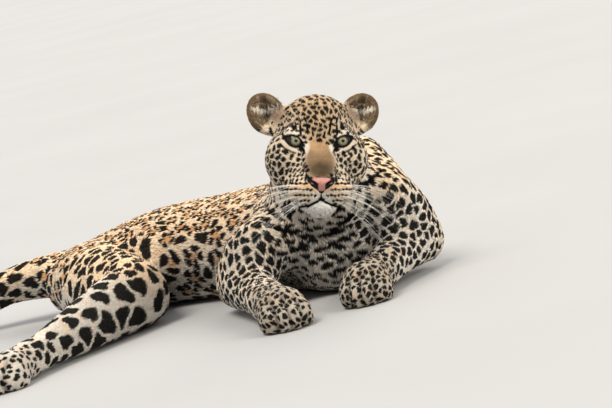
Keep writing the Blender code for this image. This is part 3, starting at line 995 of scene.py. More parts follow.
@dataclass
class FacePaint:
    """The colours of the face: soft ground patches, then dark and pale lines and the whisker dots."""

    face: Face
    ear_form: Ear
    patches: tuple[Patch, ...] = (
        Patch((0, 60), (74, 38), srgb(206, 178, 142), 1.0, 0.8, 0, False),
        Patch((63, 51), (12, 22), srgb(150, 122, 96), 0.9, 0.7, -20),
        Patch((0, 16), (24, 26), srgb(208, 180, 142), 0.9, 0.6, 0, False),
        Patch((58, -34), (36, 44), BUFF, 0.95, 0.6),
        Patch((43, 13.5), (18, 7.5), CREAM, 0.85, 0.5, 14),
        Patch((0, -33), (24.5, 32), srgb(156, 128, 98), 1.0, 0.3, 0, False, True),
        Patch((0, -8), (17, 12), srgb(198, 164, 124), 0.9, 0.7, 0, False),
        Patch((0, -47), (20, 13), srgb(92, 77, 58), 0.95, 0.6, 0, False),
        Patch((20, -12), (3.8, 10), PALE, 0.85, 0.5, 14, True, True),
        Patch((27, -76), (29, 9), srgb(226, 190, 148), 0.9, 0.6, 0, True, True),
        Patch((27, -90), (27, 12), srgb(232, 214, 188), 1.0, 0.4, 0, True, True),
        Patch((11, -94), (8, 8), WHITE, 0.95, 0.7, 0, True, True),
        Patch((0, -115), (29, 15), srgb(228, 225, 218), 1.0, 0.3, 0, False, True),
        Patch((41, -109), (8.5, 13), INK, 0.96, 0.3, -14, True, True),
        Patch((39, 21.5), (4.8, 4.2), INK, 1.0, 0.25, 20, True, True),
    )
    strokes: tuple[Stroke, ...] = (
        Stroke(((59, 1), (52, -8), (44, -12.6), (36, -15.3), (30, -19)), 1.25, CREAM),
        Stroke(((61, -6), (54, -12.8), (46, -17), (38, -20)), 1.6, INK, 0.85),
        Stroke(((33, -8), (27, -12.5), (25, -16)), 2.6, INK),
        Stroke(((52, 4.5), (57.5, 3.5)), 1.6, INK),
        Stroke(((29.5, 10), (30, 17), (29.5, 25)), 1.9, INK),
        Stroke(((29.5, 29), (31.5, 37)), 2.0, INK),
        Stroke(((17, 13), (18.5, 20), (18.5, 27)), 1.9, INK),
        Stroke(((60, 13), (53, 21), (43, 28.5), (37, 30)), 1.3, INK, 0.85),
        Stroke(((20, 31), (23, 37)), 1.9, INK),
        Stroke(((9, 9), (10, 14)), 1.7, INK),
        Stroke(((23, -54), (25, -59), (25.5, -65), (23, -70)), 1.5, INK),
        Stroke(((27, -50), (28, -48)), 1.5, INK),
    )
    collars: tuple[Stroke, ...] = (
        Stroke(
            ((-80, -126), (-57, -144), (-22, -153), (10, -157), (33, -153), (59, -126), (96, -94)), 4.2, INK
        ),
        Stroke(((68, -72), (90, -66), (116, -50)), 5.2, INK),
        Stroke(((-74, -96), (-66, -116), (-44, -131)), 3.2, INK),
        Stroke(((-48, -170), (-12, -180), (26, -176), (60, -160)), 2.8, INK),
        Stroke(((-36, -101), (-42, -112), (-39, -119)), 6.0, INK),
        Stroke(((36, -101), (43, -110), (41, -116)), 5.5, INK),
    )
    dot_rows: tuple[Point, ...] = ((-70, 27, 47), (-79.5, 17, 53), (-88.5, 10, 45), (-97, 20, 38))
    dot_gap: float = 6.0
    dot_slope: float = 0.04
    dots_reach: float = 9.0
    chin_dots: int = 9

    def patch_share(self, patch: Patch, flat: Rows) -> Rows:
        """How strongly a patch colours the face.

        Args:
            patch: The patch.
            flat: Rows of x and z.

        Returns:
            A share for each row.
        """
        share = np.zeros(len(flat))
        angle = math.radians(patch.turn)
        for side in SIDES if patch.paired else SIDES[:1]:
            across, up = flat[:, 0] * side - patch.centre[0], flat[:, 1] - patch.centre[1]
            along = (across * math.cos(angle) + up * math.sin(angle)) / patch.sizes[0]
            rise = (up * math.cos(angle) - across * math.sin(angle)) / patch.sizes[1]
            share = np.maximum(share, 1 - ease(1 - patch.soft, 1 + patch.soft, np.hypot(along, rise)))
        return share * patch.strength

    def bare(self, local: Rows) -> Rows:
        """Finds where the face carries no scattered spots.

        Args:
            local: Places in head units.

        Returns:
            1 where it is bare, else 0.
        """
        flat, share = local[:, [0, 2]], np.zeros(len(local))
        for patch in self.patches:
            if patch.bare:
                share = np.maximum(share, self.patch_share(patch, flat))
        for stroke in self.strokes:
            for side in SIDES:
                line = [(x * side, z) for x, z in stroke.line]
                share = np.maximum(share, segment_distance(flat, line) < stroke.width + 1.4)
        for side in SIDES:
            share = np.maximum(share, self.face.opening_share(flat, side) < 1.4)
        return share * (local[:, 1] < 30)

    def ground(self, local: Rows) -> Rows:
        """The head's colour between marks.

        Args:
            local: Places in head units.

        Returns:
            Rows of colours.
        """
        flat = local[:, [0, 2]]
        behind = ease(20, 60, local[:, 1])
        colour = plain(SAND, len(local))
        low = 1 - ease(-105, -55, local[:, 2])
        colour = mix(colour, PALE, low)
        for patch in self.patches:
            fade = 1 - behind * (patch.centre[1] < 50)
            colour = mix(colour, patch.colour, self.patch_share(patch, flat) * fade)
        return colour

    def ear_place(self, local: Rows) -> Rows:
        """Finds places on an ear, outwards and up from its middle.

        Args:
            local: Places in head units.

        Returns:
            Rows of two shares, 1 on the edge.
        """
        side = np.where(local[:, 0] > 0, 1.0, -1.0)
        rows = local * np.stack([side, np.ones_like(side), np.ones_like(side)], axis=1)
        axes = np.array(turned(self.ear_form.turn))
        shift = np.where(side > 0, self.ear_form.place(1), self.ear_form.place(-1))
        inner = (rows - np.array(self.ear_form.centre) - np.outer(shift, (1, 0, 0))) @ axes
        return inner[:, [0, 2]] / (self.ear_form.sizes[0], self.ear_form.sizes[2])

    def ear(self, local: Rows, front: Rows) -> Rows:
        """The ears' colour: olive rims, pale hair inside with painted shade in the hollow, black backs with
        a pale spot.

        Args:
            local: Places in head units.
            front: Whether the skin there faces forwards.

        Returns:
            Rows of colours.
        """
        place = self.ear_place(local)
        across, up = place[:, 0], place[:, 1]
        reach = np.hypot(across, up)
        inside = plain(EAR_SKIN, len(local))
        fine = ease(0.2, 0.9, np.sin(16 * (across - 1.4 * up) + 2 * ripple(local, 9, 4)))
        inside = mix(inside, EAR_HAIR, fine * 0.35)
        # painted shade: the hollow of the ear's cup is darkened
        hollow = 1 - ease(0.26, 0.62, np.hypot(across + 0.12, 0.9 * (up + 0.28)))
        inside = mix(inside, EAR_HOLLOW_SHADE, hollow)
        streak = segment_distance(place, ((0.6, 0.72), (0.25, 0.3), (-0.6, 0.0)))
        streak = streak + 0.05 * np.sin(24 * (across + up))
        inside = mix(inside, EAR_STREAK, (1 - ease(0.03, 0.17, streak)) * 0.85)
        face = mix(inside, EAR_RIM, ease(0.74, 0.95, reach))
        face = mix(face, INK, ease(0.62, 0.74, across) * ease(-0.12, -0.3, up))
        spot = 1 - ease(0.30, 0.45, np.hypot(across, up - 0.1))
        back = mix(plain(INK, len(local)), BUFF, spot)
        back = mix(back, OLIVE, ease(0.72, 0.92, reach) * ease(-0.1, 0.4, up))
        return np.where(front[:, None], face, back)

    def collar(self, colour: Rows, local: Rows, share: Rows) -> Rows:
        """Adds the broken dark bars across the throat.

        Args:
            colour: Rows of colours to draw on.
            local: Their places in head units.
            share: How far off the head each one is.

        Returns:
            The new colours.
        """
        flat = local[:, [0, 2]]
        seen = share * (1 - ease(200, 240, local[:, 1])) * ease(-0.5, -0.2, ripple(local, 17, 31))
        for stroke in self.collars:
            wide = stroke.width * (1 + 0.3 * ripple(local, 11, 33))
            near = 1 - ease(wide * 0.75, wide * 1.2, segment_distance(flat, stroke.line))
            colour = mix(colour, stroke.colour, near * seen)
        return colour

    def lines(self, colour: Rows, local: Rows, share: Rows) -> Rows:
        """Adds the face's lines and dots.

        Args:
            colour: Rows of colours to draw on.
            local: The same rows' places in head units.
            share: How much each row belongs to the head.

        Returns:
            The new colours.
        """
        flat = local[:, [0, 2]]
        front = share * (1 - ease(25, 40, local[:, 1]))
        for stroke in self.strokes:
            for side in SIDES:
                line = [(x * side, z) for x, z in stroke.line]
                near = 1 - ease(stroke.width * 0.7, stroke.width * 1.3, segment_distance(flat, line))
                colour = mix(colour, stroke.colour, near * stroke.strength * front)
        for side in SIDES:
            around = self.face.opening_share(flat, side)
            colour = mix(colour, INK, (1 - ease(1.16, 1.34, around)) * front)
        mouth = segment_distance(flat, self.face.mouth_line())
        colour = mix(colour, INK, (1 - ease(1.3, 2.4, mouth)) * front)
        middle = segment_distance(flat, self.face.philtrum)
        colour = mix(colour, INK, (1 - ease(0.9, 1.9, middle)) * front)
        dots, rows_line = self.whisker_dots(flat)
        colour = mix(colour, UMBER, (1 - ease(0.3, 1.4, rows_line)) * 0.45 * front)
        return mix(colour, INK, (1 - ease(1.75, 2.45, dots)) * front)

    def whisker_dots(self, flat: Rows) -> tuple[Rows, Rows]:
        """How far places lie from the dots that the whiskers grow from.

        Args:
            flat: Rows of x and z.

        Returns:
            The distances from the dots and from the rows that they stand in.
        """
        dots, rows_line = np.full(len(flat), self.dots_reach), np.full(len(flat), self.dots_reach)
        width = np.abs(flat[:, 0])
        for height, start, end in self.dot_rows:
            over = np.clip(width, start, end)
            gap = np.hypot(width - over, flat[:, 1] - height - self.dot_slope * (over - 20))
            rows_line = np.minimum(rows_line, gap)
            for step in range(int((end - start) / self.dot_gap) + 1):
                x = start + step * self.dot_gap
                z = height + 0.8 * math.sin(2.1 * step) + self.dot_slope * (x - 20)
                dots = np.minimum(dots, np.hypot((width - x) / 1.2, flat[:, 1] - z))
        for step in range(self.chin_dots):
            x, z = 19 * math.sin(2.4 * step), -113 - 7 * math.cos(1.7 * step)
            dots = np.minimum(dots, 1.1 + np.hypot(flat[:, 0] - x, flat[:, 1] - z))
        return dots, rows_line


# ---- the coat
@dataclass(frozen=True)
class CoatPlan:
    """How the coat grows and is marked on one part of the body.

    Lengths are in millimetres. room is the skin that one tuft has, in square millimetres. spot and
    stretch give a mark's half width and how much longer it is along the coat, pitch how far apart
    marks lie, and rosette the share that are rings. above and below colour the upper and the lower
    side, lift is how far the tips stand off, across turns the marks, 1 being square to the lie, and
    topped is the size of the marks on the upper side against those below.
    """

    length: float
    width: float
    room: float
    spot: float
    stretch: float
    pitch: float
    rosette: float
    above: Colour
    below: Colour
    lift: float = 1.6
    across: float = 0.0
    topped: float = 1.0


PLANS = {
    "head": CoatPlan(5, 1.15, 1.0, 3.25, 1.45, 7.9, 0.0, SAND, CREAM, 0.9, 0.9),
    "ear": CoatPlan(6.5, 1.3, 1.4, 2.0, 1.2, 90.0, 0.0, OLIVE, OLIVE, 1.0),
    "neck": CoatPlan(10, 1.8, 2.6, 5.0, 1.15, 13.4, 0.0, GOLD, PALE, 1.8, 0.1),
    "chest": CoatPlan(10, 1.9, 2.9, 4.9, 2.0, 14.5, 0.0, SAND, ASH, 1.8, 0.95),
    "abdomen": CoatPlan(12, 2.1, 3.5, 18.5, 1.3, 42.0, 0.8, GOLD, PALE, 1.8, 0.0, 0.5),
    "rump": CoatPlan(12, 2.1, 3.5, 18.0, 1.4, 43.0, 0.65, GOLD, PALE, 1.8, 0.0, 0.52),
    "upper_arm": CoatPlan(10, 1.9, 3.0, 6.3, 1.35, 13.9, 0.0, GOLD, CREAM, 1.8, 0.8),
    "forearm": CoatPlan(8.5, 1.8, 2.6, 8.4, 1.25, 15.6, 0.0, CREAM, PALE, 1.5),
    # the forepaws take a pale colour darkened as painted shade
    "forepaw": CoatPlan(5.5, 1.4, 1.7, 4.4, 1.25, 9.4, 0.0, SHADED_PAW_PALE, SHADED_PAW_PALE, 0.9),
    "thigh": CoatPlan(11.5, 2.1, 3.5, 16.0, 1.25, 35.0, 0.0, GOLD, PALE, 1.8, 0.3, 0.62),
    "shank": CoatPlan(10, 2.0, 3.2, 17.5, 1.2, 34.0, 0.0, ASH, ASH, 1.6),
    "hindfoot": CoatPlan(8.5, 1.9, 2.8, 10.0, 1.2, 22.0, 0.0, ASH, ASH, 1.4),
    "hindpaw": CoatPlan(5.5, 1.4, 1.9, 4.5, 1.2, 11.0, 0.0, ASH, ASH, 0.9),
    "tail": CoatPlan(13, 2.0, 3.1, 12.0, 1.3, 25.0, 0.1, GOLD, CREAM, 2.0),
}


def plan_of(node: str) -> CoatPlan:
    """The coat's plan on a node."""
    kind = node.rsplit("_", 1)[0]
    return PLANS[kind if kind in PLANS else "tail"]


@dataclass
class SkinField:
    """What every vertex of the skin knows: its part of the body, its coat and how that lies."""

    skin: Piece
    head: Head
    blend_steps: int = 12
    colour_steps: int = 96
    lie_steps: int = 40
    nose: Point = (0.0, -62.0, -70.0)

    def __post_init__(self) -> None:
        """Works out the coat's lie, sizes and colours for every vertex."""
        self.points = vertex_rows(self.skin.data)
        self.triangles = triangle_rows(self.skin.data)
        self.normals = vertex_normals(self.points, self.triangles)
        self.net = Net(self.skin.data)
        self.normals = unit(self.net.smooth(self.normals, 2))
        self.local = self.head.local(self.points)
        self.nodes = sorted(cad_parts)
        self.label = self.nearest_nodes()
        self.tree = BVHTree.FromPolygons(self.points.tolist(), self.triangles.tolist())
        self.lie = self.lie_directions()
        plans = [PLANS["head"] if name[:3] in ("eye", "nos") else plan_of(name) for name in self.nodes]
        columns = [name for name in CoatPlan.__dataclass_fields__ if name not in ("above", "below")]
        table = np.array([[getattr(plan, column) for column in columns] for plan in plans])
        colours = np.array([plan.above + plan.below for plan in plans])
        rows = self.net.smooth(table[self.label], self.blend_steps)
        self.plan = {column: rows[:, index] for index, column in enumerate(columns)}
        rows = self.net.smooth(colours[self.label], self.colour_steps)
        self.above, self.below = rows[:, :3], rows[:, 3:]
        self.fit_head()
        top = self.net.smooth(ease(0.25, 0.85, self.normals[:, 2])[:, None], 10)[:, 0]
        smaller = 1 - (1 - self.plan["topped"]) * top
        self.plan["pitch"] *= smaller
        self.plan["spot"] *= smaller
        self.plan["stretch"] *= 1 + 1.1 * (1 - smaller)
        self.plan["across"] *= 1 - top * (1 - self.on_parts("head"))

    def fit_head(self) -> None:
        """Makes the head's marks small and close on the forehead and larger on the cheeks."""
        up, across = self.local[:, 2], np.abs(self.local[:, 0])
        cheek = ease(30, 58, across) * (1 - ease(0, 26, up))
        brow, crown = ease(-6, 14, up), ease(22, 50, up)
        size = 1 + self.on_parts("head") * (0.2 * cheek - 0.1 * brow + 0.2 * crown)
        self.plan["across"] *= 1 - 0.75 * crown * self.on_parts("head")
        self.plan["pitch"] *= size
        self.plan["spot"] *= size * (1 + self.on_parts("head") * (0.1 * cheek + 0.16 * crown))

    def nearest_nodes(self) -> Rows:
        """Finds the solid that each vertex lies nearest to.

        Returns:
            The numbers of the solids.
        """
        points, faces, owners, total = [], [], [], 0
        for index, name in enumerate(self.nodes):
            if name.startswith(("eye_", "nose")):
                continue
            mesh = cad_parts[name].data
            rows, triangles = vertex_rows(mesh), triangle_rows(mesh)
            points.append(rows)
            faces.append(triangles + total)
            owners += [index] * len(triangles)
            total += len(rows)
        tree = BVHTree.FromPolygons(np.concatenate(points).tolist(), np.concatenate(faces).tolist())
        return np.array([owners[tree.find_nearest(Vector(point))[2]] for point in self.points])

    def centre(self, node: str) -> Rows:
        """The middle of a solid's box."""
        low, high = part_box(node)
        return np.array((low + high) / 2)

    def lie_directions(self) -> Rows:
        """The way the coat lies at each vertex: back from the nose, along the spine, down the legs.

        Returns:
            A row of length one for each vertex.
        """
        chains = [("head", "neck", "chest", "abdomen", "rump", "tail_1", "tail_2", "tail_3", "tail_4")]
        for side in ("left", "right"):
            chains.append(tuple(f"{part}_{side}" for part in ("upper_arm", "forearm", "forepaw")))
            chains.append(tuple(f"{part}_{side}" for part in ("thigh", "shank", "hindfoot", "hindpaw")))
        ways = {name: np.array((0.0, 0.0, 1.0)) for name in self.nodes}
        for chain in chains:
            middles = [self.centre(name) for name in chain]
            for index, name in enumerate(chain):
                start = middles[max(index - 1, 0)]
                end = middles[min(index + 1, len(chain) - 1)]
                ways[name] = unit(end - start)
        ways["chest"] = unit(np.array((-0.05, 0.75, -0.65)))
        ways["upper_arm_left"] = unit(np.array((0.2, 0.3, -1.0)))
        ways["upper_arm_right"] = unit(np.array((-0.3, 0.25, -0.9)))
        ways["forearm_left"] = unit(
            self.centre("forepaw_left") - self.centre("upper_arm_left") + (0, 0, 20 * MM)
        )
        lie = np.array([ways[name] for name in self.nodes])[self.label]
        on_head = self.on_parts("head", "neck")
        away = unit(self.local - self.nose) @ np.array(self.head.matrix.to_3x3()).T / self.head.unit
        from_nose = 1 - ease(120, 190, np.linalg.norm(self.local - self.nose, axis=1))
        share = (from_nose * on_head)[:, None]
        lie = lie * (1 - share) + unit(away) * share
        for side in SIDES:
            ear = unit(self.head.world((side * 90, 60, 90)) - self.head.world((side * 66, 60, 20)))[0]
            on_ear = self.on_parts("ear_left" if side > 0 else "ear_right")[:, None]
            lie = lie * (1 - on_ear) + ear * on_ear
        lie = self.along_skin(lie)
        for _ in range(self.lie_steps):
            lie = self.along_skin(lie + self.net.average(lie))
        return lie

    def along_skin(self, ways: Rows) -> Rows:
        """Lays a direction for each vertex along the skin, at length one."""
        return unit(ways - self.normals * (ways * self.normals).sum(axis=1, keepdims=True))

    def faces_forwards(self, vertices: Rows) -> Rows:
        """Whether the skin at these vertices faces the way that the face does."""
        return (self.normals[vertices] @ np.array(self.head.matrix.to_3x3()))[:, 1] < 0

    def on_parts(self, *names: str) -> Rows:
        """1 at vertices on these solids, 0 elsewhere."""
        wanted = [index for index, node in enumerate(self.nodes) if node in names]
        return np.isin(self.label, wanted).astype(float)


@dataclass
class Spots:
    """Dark marks on the skin: oval blobs with uneven edges, looked up by place.

    wobbles holds each wave of an edge, as waves round it and how high they are, and sunk is how much a
    blob's distance counts the depth below it.
    """

    centres: list = field(default_factory=list)
    along: list = field(default_factory=list)
    across: list = field(default_factory=list)
    sizes: list = field(default_factory=list)
    seed: int = 7
    wobbles: tuple[Flat, ...] = ((2, 0.15), (3, 0.13), (5, 0.06))
    sunk: float = 0.2

    def add(
        self, centre: Rows, along: Rows, normal: Rows, long: float, wide: float
    ) -> None:
        """Adds one blob.

        Args:
            centre: Its middle.
            along: The way of its long axis.
            normal: The skin's normal there.
            long: Half its length in metres.
            wide: Half its width in metres.
        """
        along = unit(along - normal * (along @ normal))
        self.centres.append(centre)
        self.along.append(along)
        self.across.append(np.cross(normal, along))
        self.sizes.append((long, wide))

    def settle(self) -> None:
        """Turns the lists into arrays and builds the look-up tree."""
        self.table = [np.array(rows) for rows in (self.centres, self.along, self.across, self.sizes)]
        count = len(self.centres)
        turns = (count, len(self.wobbles))
        self.uneven = np.random.default_rng(self.seed).uniform(0, 2 * math.pi, size=turns)
        self.tree = KDTree(count)
        for index, centre in enumerate(self.centres):
            self.tree.insert(centre, index)
        self.tree.balance()

    def depth(self, rows: Rows, gap: float, nearest: int = 6) -> Rows:
        """How far inside a blob each row is: over 0 inside, 1 at its middle, under 0 outside.

        Args:
            rows: Places on the skin.
            gap: The pale line left between two blobs that meet, as a share of their size.
            nearest: How many blobs near each place are tried.

        Returns:
            The depth in the nearest blob.
        """
        centres, along, across, sizes = self.table
        found = np.empty((len(rows), nearest), int)
        for number, point in enumerate(rows.tolist()):
            found[number] = [hit[1] for hit in self.tree.find_n(point, nearest)]
        reach = np.empty((len(rows), nearest))
        for column in range(nearest):
            index = found[:, column]
            offset = rows - centres[index]
            first = (offset * along[index]).sum(axis=1) / sizes[index, 0]
            second = (offset * across[index]).sum(axis=1) / sizes[index, 1]
            third = (offset * np.cross(along[index], across[index])).sum(axis=1) / sizes[index, 0]
            angle = np.arctan2(second, first)
            edge = 1.0
            for (waves, high), turn in zip(self.wobbles, self.uneven[index].T):
                edge = edge + high * np.sin(waves * angle + turn)
            reach[:, column] = np.sqrt(first**2 + second**2 + self.sunk * third**2) / edge
        reach.sort(axis=1)
        return np.minimum(1 - reach[:, 0], reach[:, 1] - reach[:, 0] - gap)


class Clearance:
    """Keeps places apart: shelves of cubic cells hold those already taken."""

    def __init__(self, cell: float) -> None:
        """Starts with nothing taken.

        Args:
            cell: A cell's size, at least the widest gap.
        """
        self.cell = cell
        self.shelves: dict[tuple[int, ...], list[tuple[float, ...]]] = {}

    def key(self, place: Sequence[float]) -> tuple[int, int, int]:
        """The cell that a place is in."""
        return tuple(int(math.floor(value / self.cell)) for value in place)

    def take(self, place: Sequence[float], gap: float) -> None:
        """Takes a place and the gap it keeps."""
        self.shelves.setdefault(self.key(place), []).append((*place, gap))

    def free(self, place: Sequence[float], gap: float) -> bool:
        """Whether a place stands clear of all taken ones by the mean of both gaps.

        Args:
            place: The place.
            gap: The gap it keeps.

        Returns:
            True where it is clear.
        """
        x, y, z = self.key(place)
        for across, along, up in NEARBY:
            for px, py, pz, other in self.shelves.get((x + across, y + along, z + up), ()):
                room = 0.5 * (gap + other)
                if (px - place[0]) ** 2 + (py - place[1]) ** 2 + (pz - place[2]) ** 2 < room * room:
                    return False
        return True


@dataclass
class Markings:
    """The colours of skin and coat: the ground, the spots and rosettes, and the lines of the face."""

    field: SkinField
    paint: FacePaint
    seed: int = 11
    tries: int = 130000
    line: float = 0.34
    cell: float = 60 * MM
    ring: float = 0.34
    ring_turn: float = 0.22
    warm: Flat = (0.55, 0.3)
    tint: float = 0.6
    darkest: float = 0.98
    groove_shade: float = 0.6

    def __post_init__(self) -> None:
        """Throws the marks and prepares their look-up."""
        self.head_share = self.field.net.smooth(self.field.on_parts("head")[:, None], 6)[:, 0]
        on_ears = self.field.on_parts("ear_left", "ear_right")[:, None]
        self.ear_share = self.field.net.smooth(on_ears, 3)[:, 0]
        self.dark = Spots()
        self.rings = Spots()
        self.scatter()
        self.dark.settle()
        self.rings.settle()
        self.paws = [Paw(name) for name in HEADINGS]

    def scatter(self) -> None:
        """Throws first rosettes and then solid spots over the skin, each clear of the others."""
        rng = np.random.default_rng(self.seed)
        plan, triangles = self.field.plan, self.field.triangles
        corners = self.field.points[triangles]
        closer = 1 - 0.5 * plan["rosette"][triangles[:, 0]]
        gap = np.maximum(plan["pitch"][triangles].mean(axis=1) * closer, 4.0)
        chance = np.linalg.norm(crossed(corners), axis=1) / gap**2
        chosen = rng.choice(len(corners), self.tries, p=chance / chance.sum())
        places = weighted(corners[chosen], scattered(rng, self.tries)).tolist()
        vertices = triangles[chosen, 0]
        bare = self.paint.bare(self.field.local) * self.head_share
        rings, blobs = Clearance(self.cell), Clearance(self.cell)
        luck = rng.random(self.tries)
        for place, vertex, chance_here in zip(places, vertices, luck):
            wide = plan["pitch"][vertex] * MM
            if chance_here < plan["rosette"][vertex] - 0.2 and rings.free(place, wide):
                rings.take(place, wide)
                self.rosette(np.array(place), vertex, rng, blobs)
        for place, vertex, near in zip(places, vertices, gap[chosen] * MM):
            if bare[vertex] < 0.4 and blobs.free(place, near):
                blobs.take(place, near)
                self.spot(np.array(place), vertex, near, rng)

    def spot(self, place: Rows, vertex: int, gap: float, rng: Chance) -> None:
        """Puts a solid spot at one place.

        Args:
            place: Its middle.
            vertex: The skin vertex there.
            gap: The gap that it keeps.
            rng: The source of chance.
        """
        plan, normal, lie = self.field.plan, self.field.normals[vertex], self.field.lie[vertex]
        size = plan["spot"][vertex] / plan["pitch"][vertex] * gap * rng.uniform(0.84, 1.18)
        stretch = max(1.0, plan["stretch"][vertex] * rng.uniform(0.8, 1.2))
        turn = rng.normal(0, 0.25) + plan["across"][vertex] * math.pi / 2
        side = np.cross(normal, lie)
        self.dark.add(place, lie * math.cos(turn) + side * math.sin(turn), normal, size * stretch, size)

    def rosette(self, place: Rows, vertex: int, rng: Chance, blobs: Clearance) -> None:
        """Puts a ring of blobs round a warm middle at one place.

        Args:
            place: Its middle.
            vertex: The skin vertex there.
            rng: The source of chance.
            blobs: Where solid spots may not come.
        """
        plan, normal, lie = self.field.plan, self.field.normals[vertex], self.field.lie[vertex]
        side = np.cross(normal, lie)
        ring = plan["pitch"][vertex] * MM * self.ring
        long = max(1.0, plan["stretch"][vertex]) ** 0.5
        count = int(rng.integers(3, 6))
        start = rng.uniform(0, 2 * math.pi)
        for step in range(count):
            angle = start + 2 * math.pi * step / count + rng.uniform(-self.ring_turn, self.ring_turn)
            out = lie * math.cos(angle) * long + side * math.sin(angle)
            around = -lie * math.sin(angle) + side * math.cos(angle)
            reach = ring * math.pi / count * rng.uniform(0.88, 1.12)
            self.dark.add(place + out * ring, around, normal, reach, ring * rng.uniform(0.48, 0.66))
            blobs.take((place + out * ring).tolist(), 1.9 * reach)
        blobs.take(place.tolist(), 1.2 * ring)
        self.rings.add(place, lie, normal, ring * 0.95 * long, ring * 0.9)

    def ground(self, rows: Rows, vertices: Rows) -> Rows:
        """The coat's colour between the marks.

        Args:
            rows: Rows of places.
            vertices: A skin vertex near each.

        Returns:
            Rows of colours.
        """
        normals = self.field.normals[vertices]
        height = ease(-0.35, 0.95, normals[:, 2] + 0.12 * ripple(rows, 60 * MM, 21))
        colour = mix(self.field.below[vertices], self.field.above[vertices], height)
        tint = ease(0.0, 0.9, ripple(rows, 14 * MM, 17)) * (0.15 + 0.4 * height)
        colour = mix(colour, TAWNY, tint * (1 - self.head_share[vertices]) * self.tint)
        local = self.field.head.local(rows)
        face = self.paint.ground(local)
        colour = mix(colour, face, self.head_share[vertices])
        ears = self.paint.ear(local, self.field.faces_forwards(vertices))
        return mix(colour, ears, self.ear_share[vertices])

    def colours(self, rows: Rows, vertices: Rows) -> Rows:
        """The colour at each row.

        Args:
            rows: Places on the skin or in the coat.
            vertices: The number of a skin vertex near each.

        Returns:
            Rows of linear colours.
        """
        colour = self.ground(rows, vertices)
        warm = ease(-0.05, 0.45, self.rings.depth(rows, -1.0, 2))
        strength = self.warm[0] + self.warm[1] * ease(-0.2, 0.7, self.field.normals[vertices, 2])
        colour = mix(colour, ORANGE, warm * strength)
        colour = colour * (1 + 0.05 * ripple(rows, 5 * MM, 3)[:, None])
        dark = ease(-0.07, 0.07, self.dark.depth(rows, self.line) + 0.05 * ripple(rows, 1.6 * MM, 5))
        colour = mix(colour, INK, dark * self.darkest * (1 - self.ear_share[vertices]))
        local, share = self.field.head.local(rows), self.head_share[vertices]
        colour = self.paint.collar(colour, local, 1 - share)
        groove = np.max([paw.groove(rows) for paw in self.paws], axis=0)
        return self.paint.lines(colour * (1 - self.groove_shade * groove)[:, None], local, share)


# ---- materials
def put(tree: Tree, kind: str, **values: object) -> bpy.types.Node:
    """Adds a node to a tree.

    Args:
        tree: The tree.
        kind: The node's type, without the tree's own word before it.
        values: Values of its inputs, with underscores for spaces.

    Returns:
        The node.
    """
    family = "GeometryNode" if tree.bl_idname == "GeometryNodeTree" else "ShaderNode"
    node = tree.nodes.new(kind if kind.startswith("NodeGroup") else family + kind)
    for name, value in values.items():
        node.inputs[name.replace("_", " ")].default_value = value
    return node


def wire(tree: Tree, *pairs: tuple[Socket, Socket]) -> None:
    """Links pairs of sockets, each from an output to an input."""
    for start, end in pairs:
        tree.links.new(start, end)


def surface(name: str) -> tuple[Material, Tree, bpy.types.NodeInputs]:
    """Starts a material.

    Args:
        name: Its name.

    Returns:
        The material, its tree and its shader's inputs.
    """
    material = bpy.data.materials.new(name)
    material.use_nodes = True
    tree = material.node_tree
    return material, tree, tree.nodes["Principled BSDF"].inputs


def own_colours(tree: Tree) -> Socket:
    """Reads the colours that a mesh carries.

    Args:
        tree: The tree of its material.

    Returns:
        The socket that gives them.
    """
    colour = put(tree, "Attribute")
    colour.attribute_name = COLOUR
    return colour.outputs["Color"]


def object_noise(tree: Tree, **values: float) -> bpy.types.Node:
    """Adds a noise over the object's own coordinates.

    Args:
        tree: The tree of a material or a group.
        values: Values of the noise's inputs.

    Returns:
        The noise.
    """
    noise = put(tree, "TexNoise", **values)
    wire(tree, (put(tree, "TexCoord").outputs["Object"], noise.inputs["Vector"]))
    return noise


def hair_grain() -> Tree:
    """Builds the group that varies a colour, its roughness and its relief with a fine grain.

    Returns:
        The group.
    """
    group = bpy.data.node_groups.new("hair grain", "ShaderNodeTree")
    group.interface.new_socket(name="Colour", in_out="INPUT", socket_type="NodeSocketColor")
    for name, value in (("Pitch", 400.0), ("Contrast", 0.2), ("Relief", 0.4)):
        socket = group.interface.new_socket(name=name, in_out="INPUT", socket_type="NodeSocketFloat")
        socket.default_value = value
    for name, kind in (("Colour", "Color"), ("Roughness", "Float"), ("Normal", "Vector")):
        group.interface.new_socket(name=name, in_out="OUTPUT", socket_type="NodeSocket" + kind)
    entry, leave = put(group, "NodeGroupInput").outputs, put(group, "NodeGroupOutput").inputs
    noise = object_noise(group, Detail=5.0, Roughness=0.65)
    spread = put(group, "MapRange", From_Min=0.3, From_Max=0.7)
    low, high, shade = put(group, "Math"), put(group, "Math"), put(group, "VectorMath")
    low.operation, high.operation, shade.operation = "SUBTRACT", "ADD", "SCALE"
    low.inputs[0].default_value = high.inputs[0].default_value = 1.0
    rough = put(group, "MapRange", To_Min=0.55, To_Max=0.8)
    bump = put(group, "Bump", Distance=0.001)
    wire(
        group,
        (entry["Pitch"], noise.inputs["Scale"]),
        (noise.outputs["Fac"], spread.inputs["Value"]),
        (entry["Contrast"], low.inputs[1]),
        (entry["Contrast"], high.inputs[1]),
        (low.outputs[0], spread.inputs["To Min"]),
        (high.outputs[0], spread.inputs["To Max"]),
        (entry["Colour"], shade.inputs[0]),
        (spread.outputs["Result"], shade.inputs["Scale"]),
        (shade.outputs["Vector"], leave["Colour"]),
        (noise.outputs["Fac"], rough.inputs["Value"]),
        (rough.outputs["Result"], leave["Roughness"]),
        (noise.outputs["Fac"], bump.inputs["Height"]),
        (entry["Relief"], bump.inputs["Strength"]),
        (bump.outputs["Normal"], leave["Normal"]),
    )
    return group


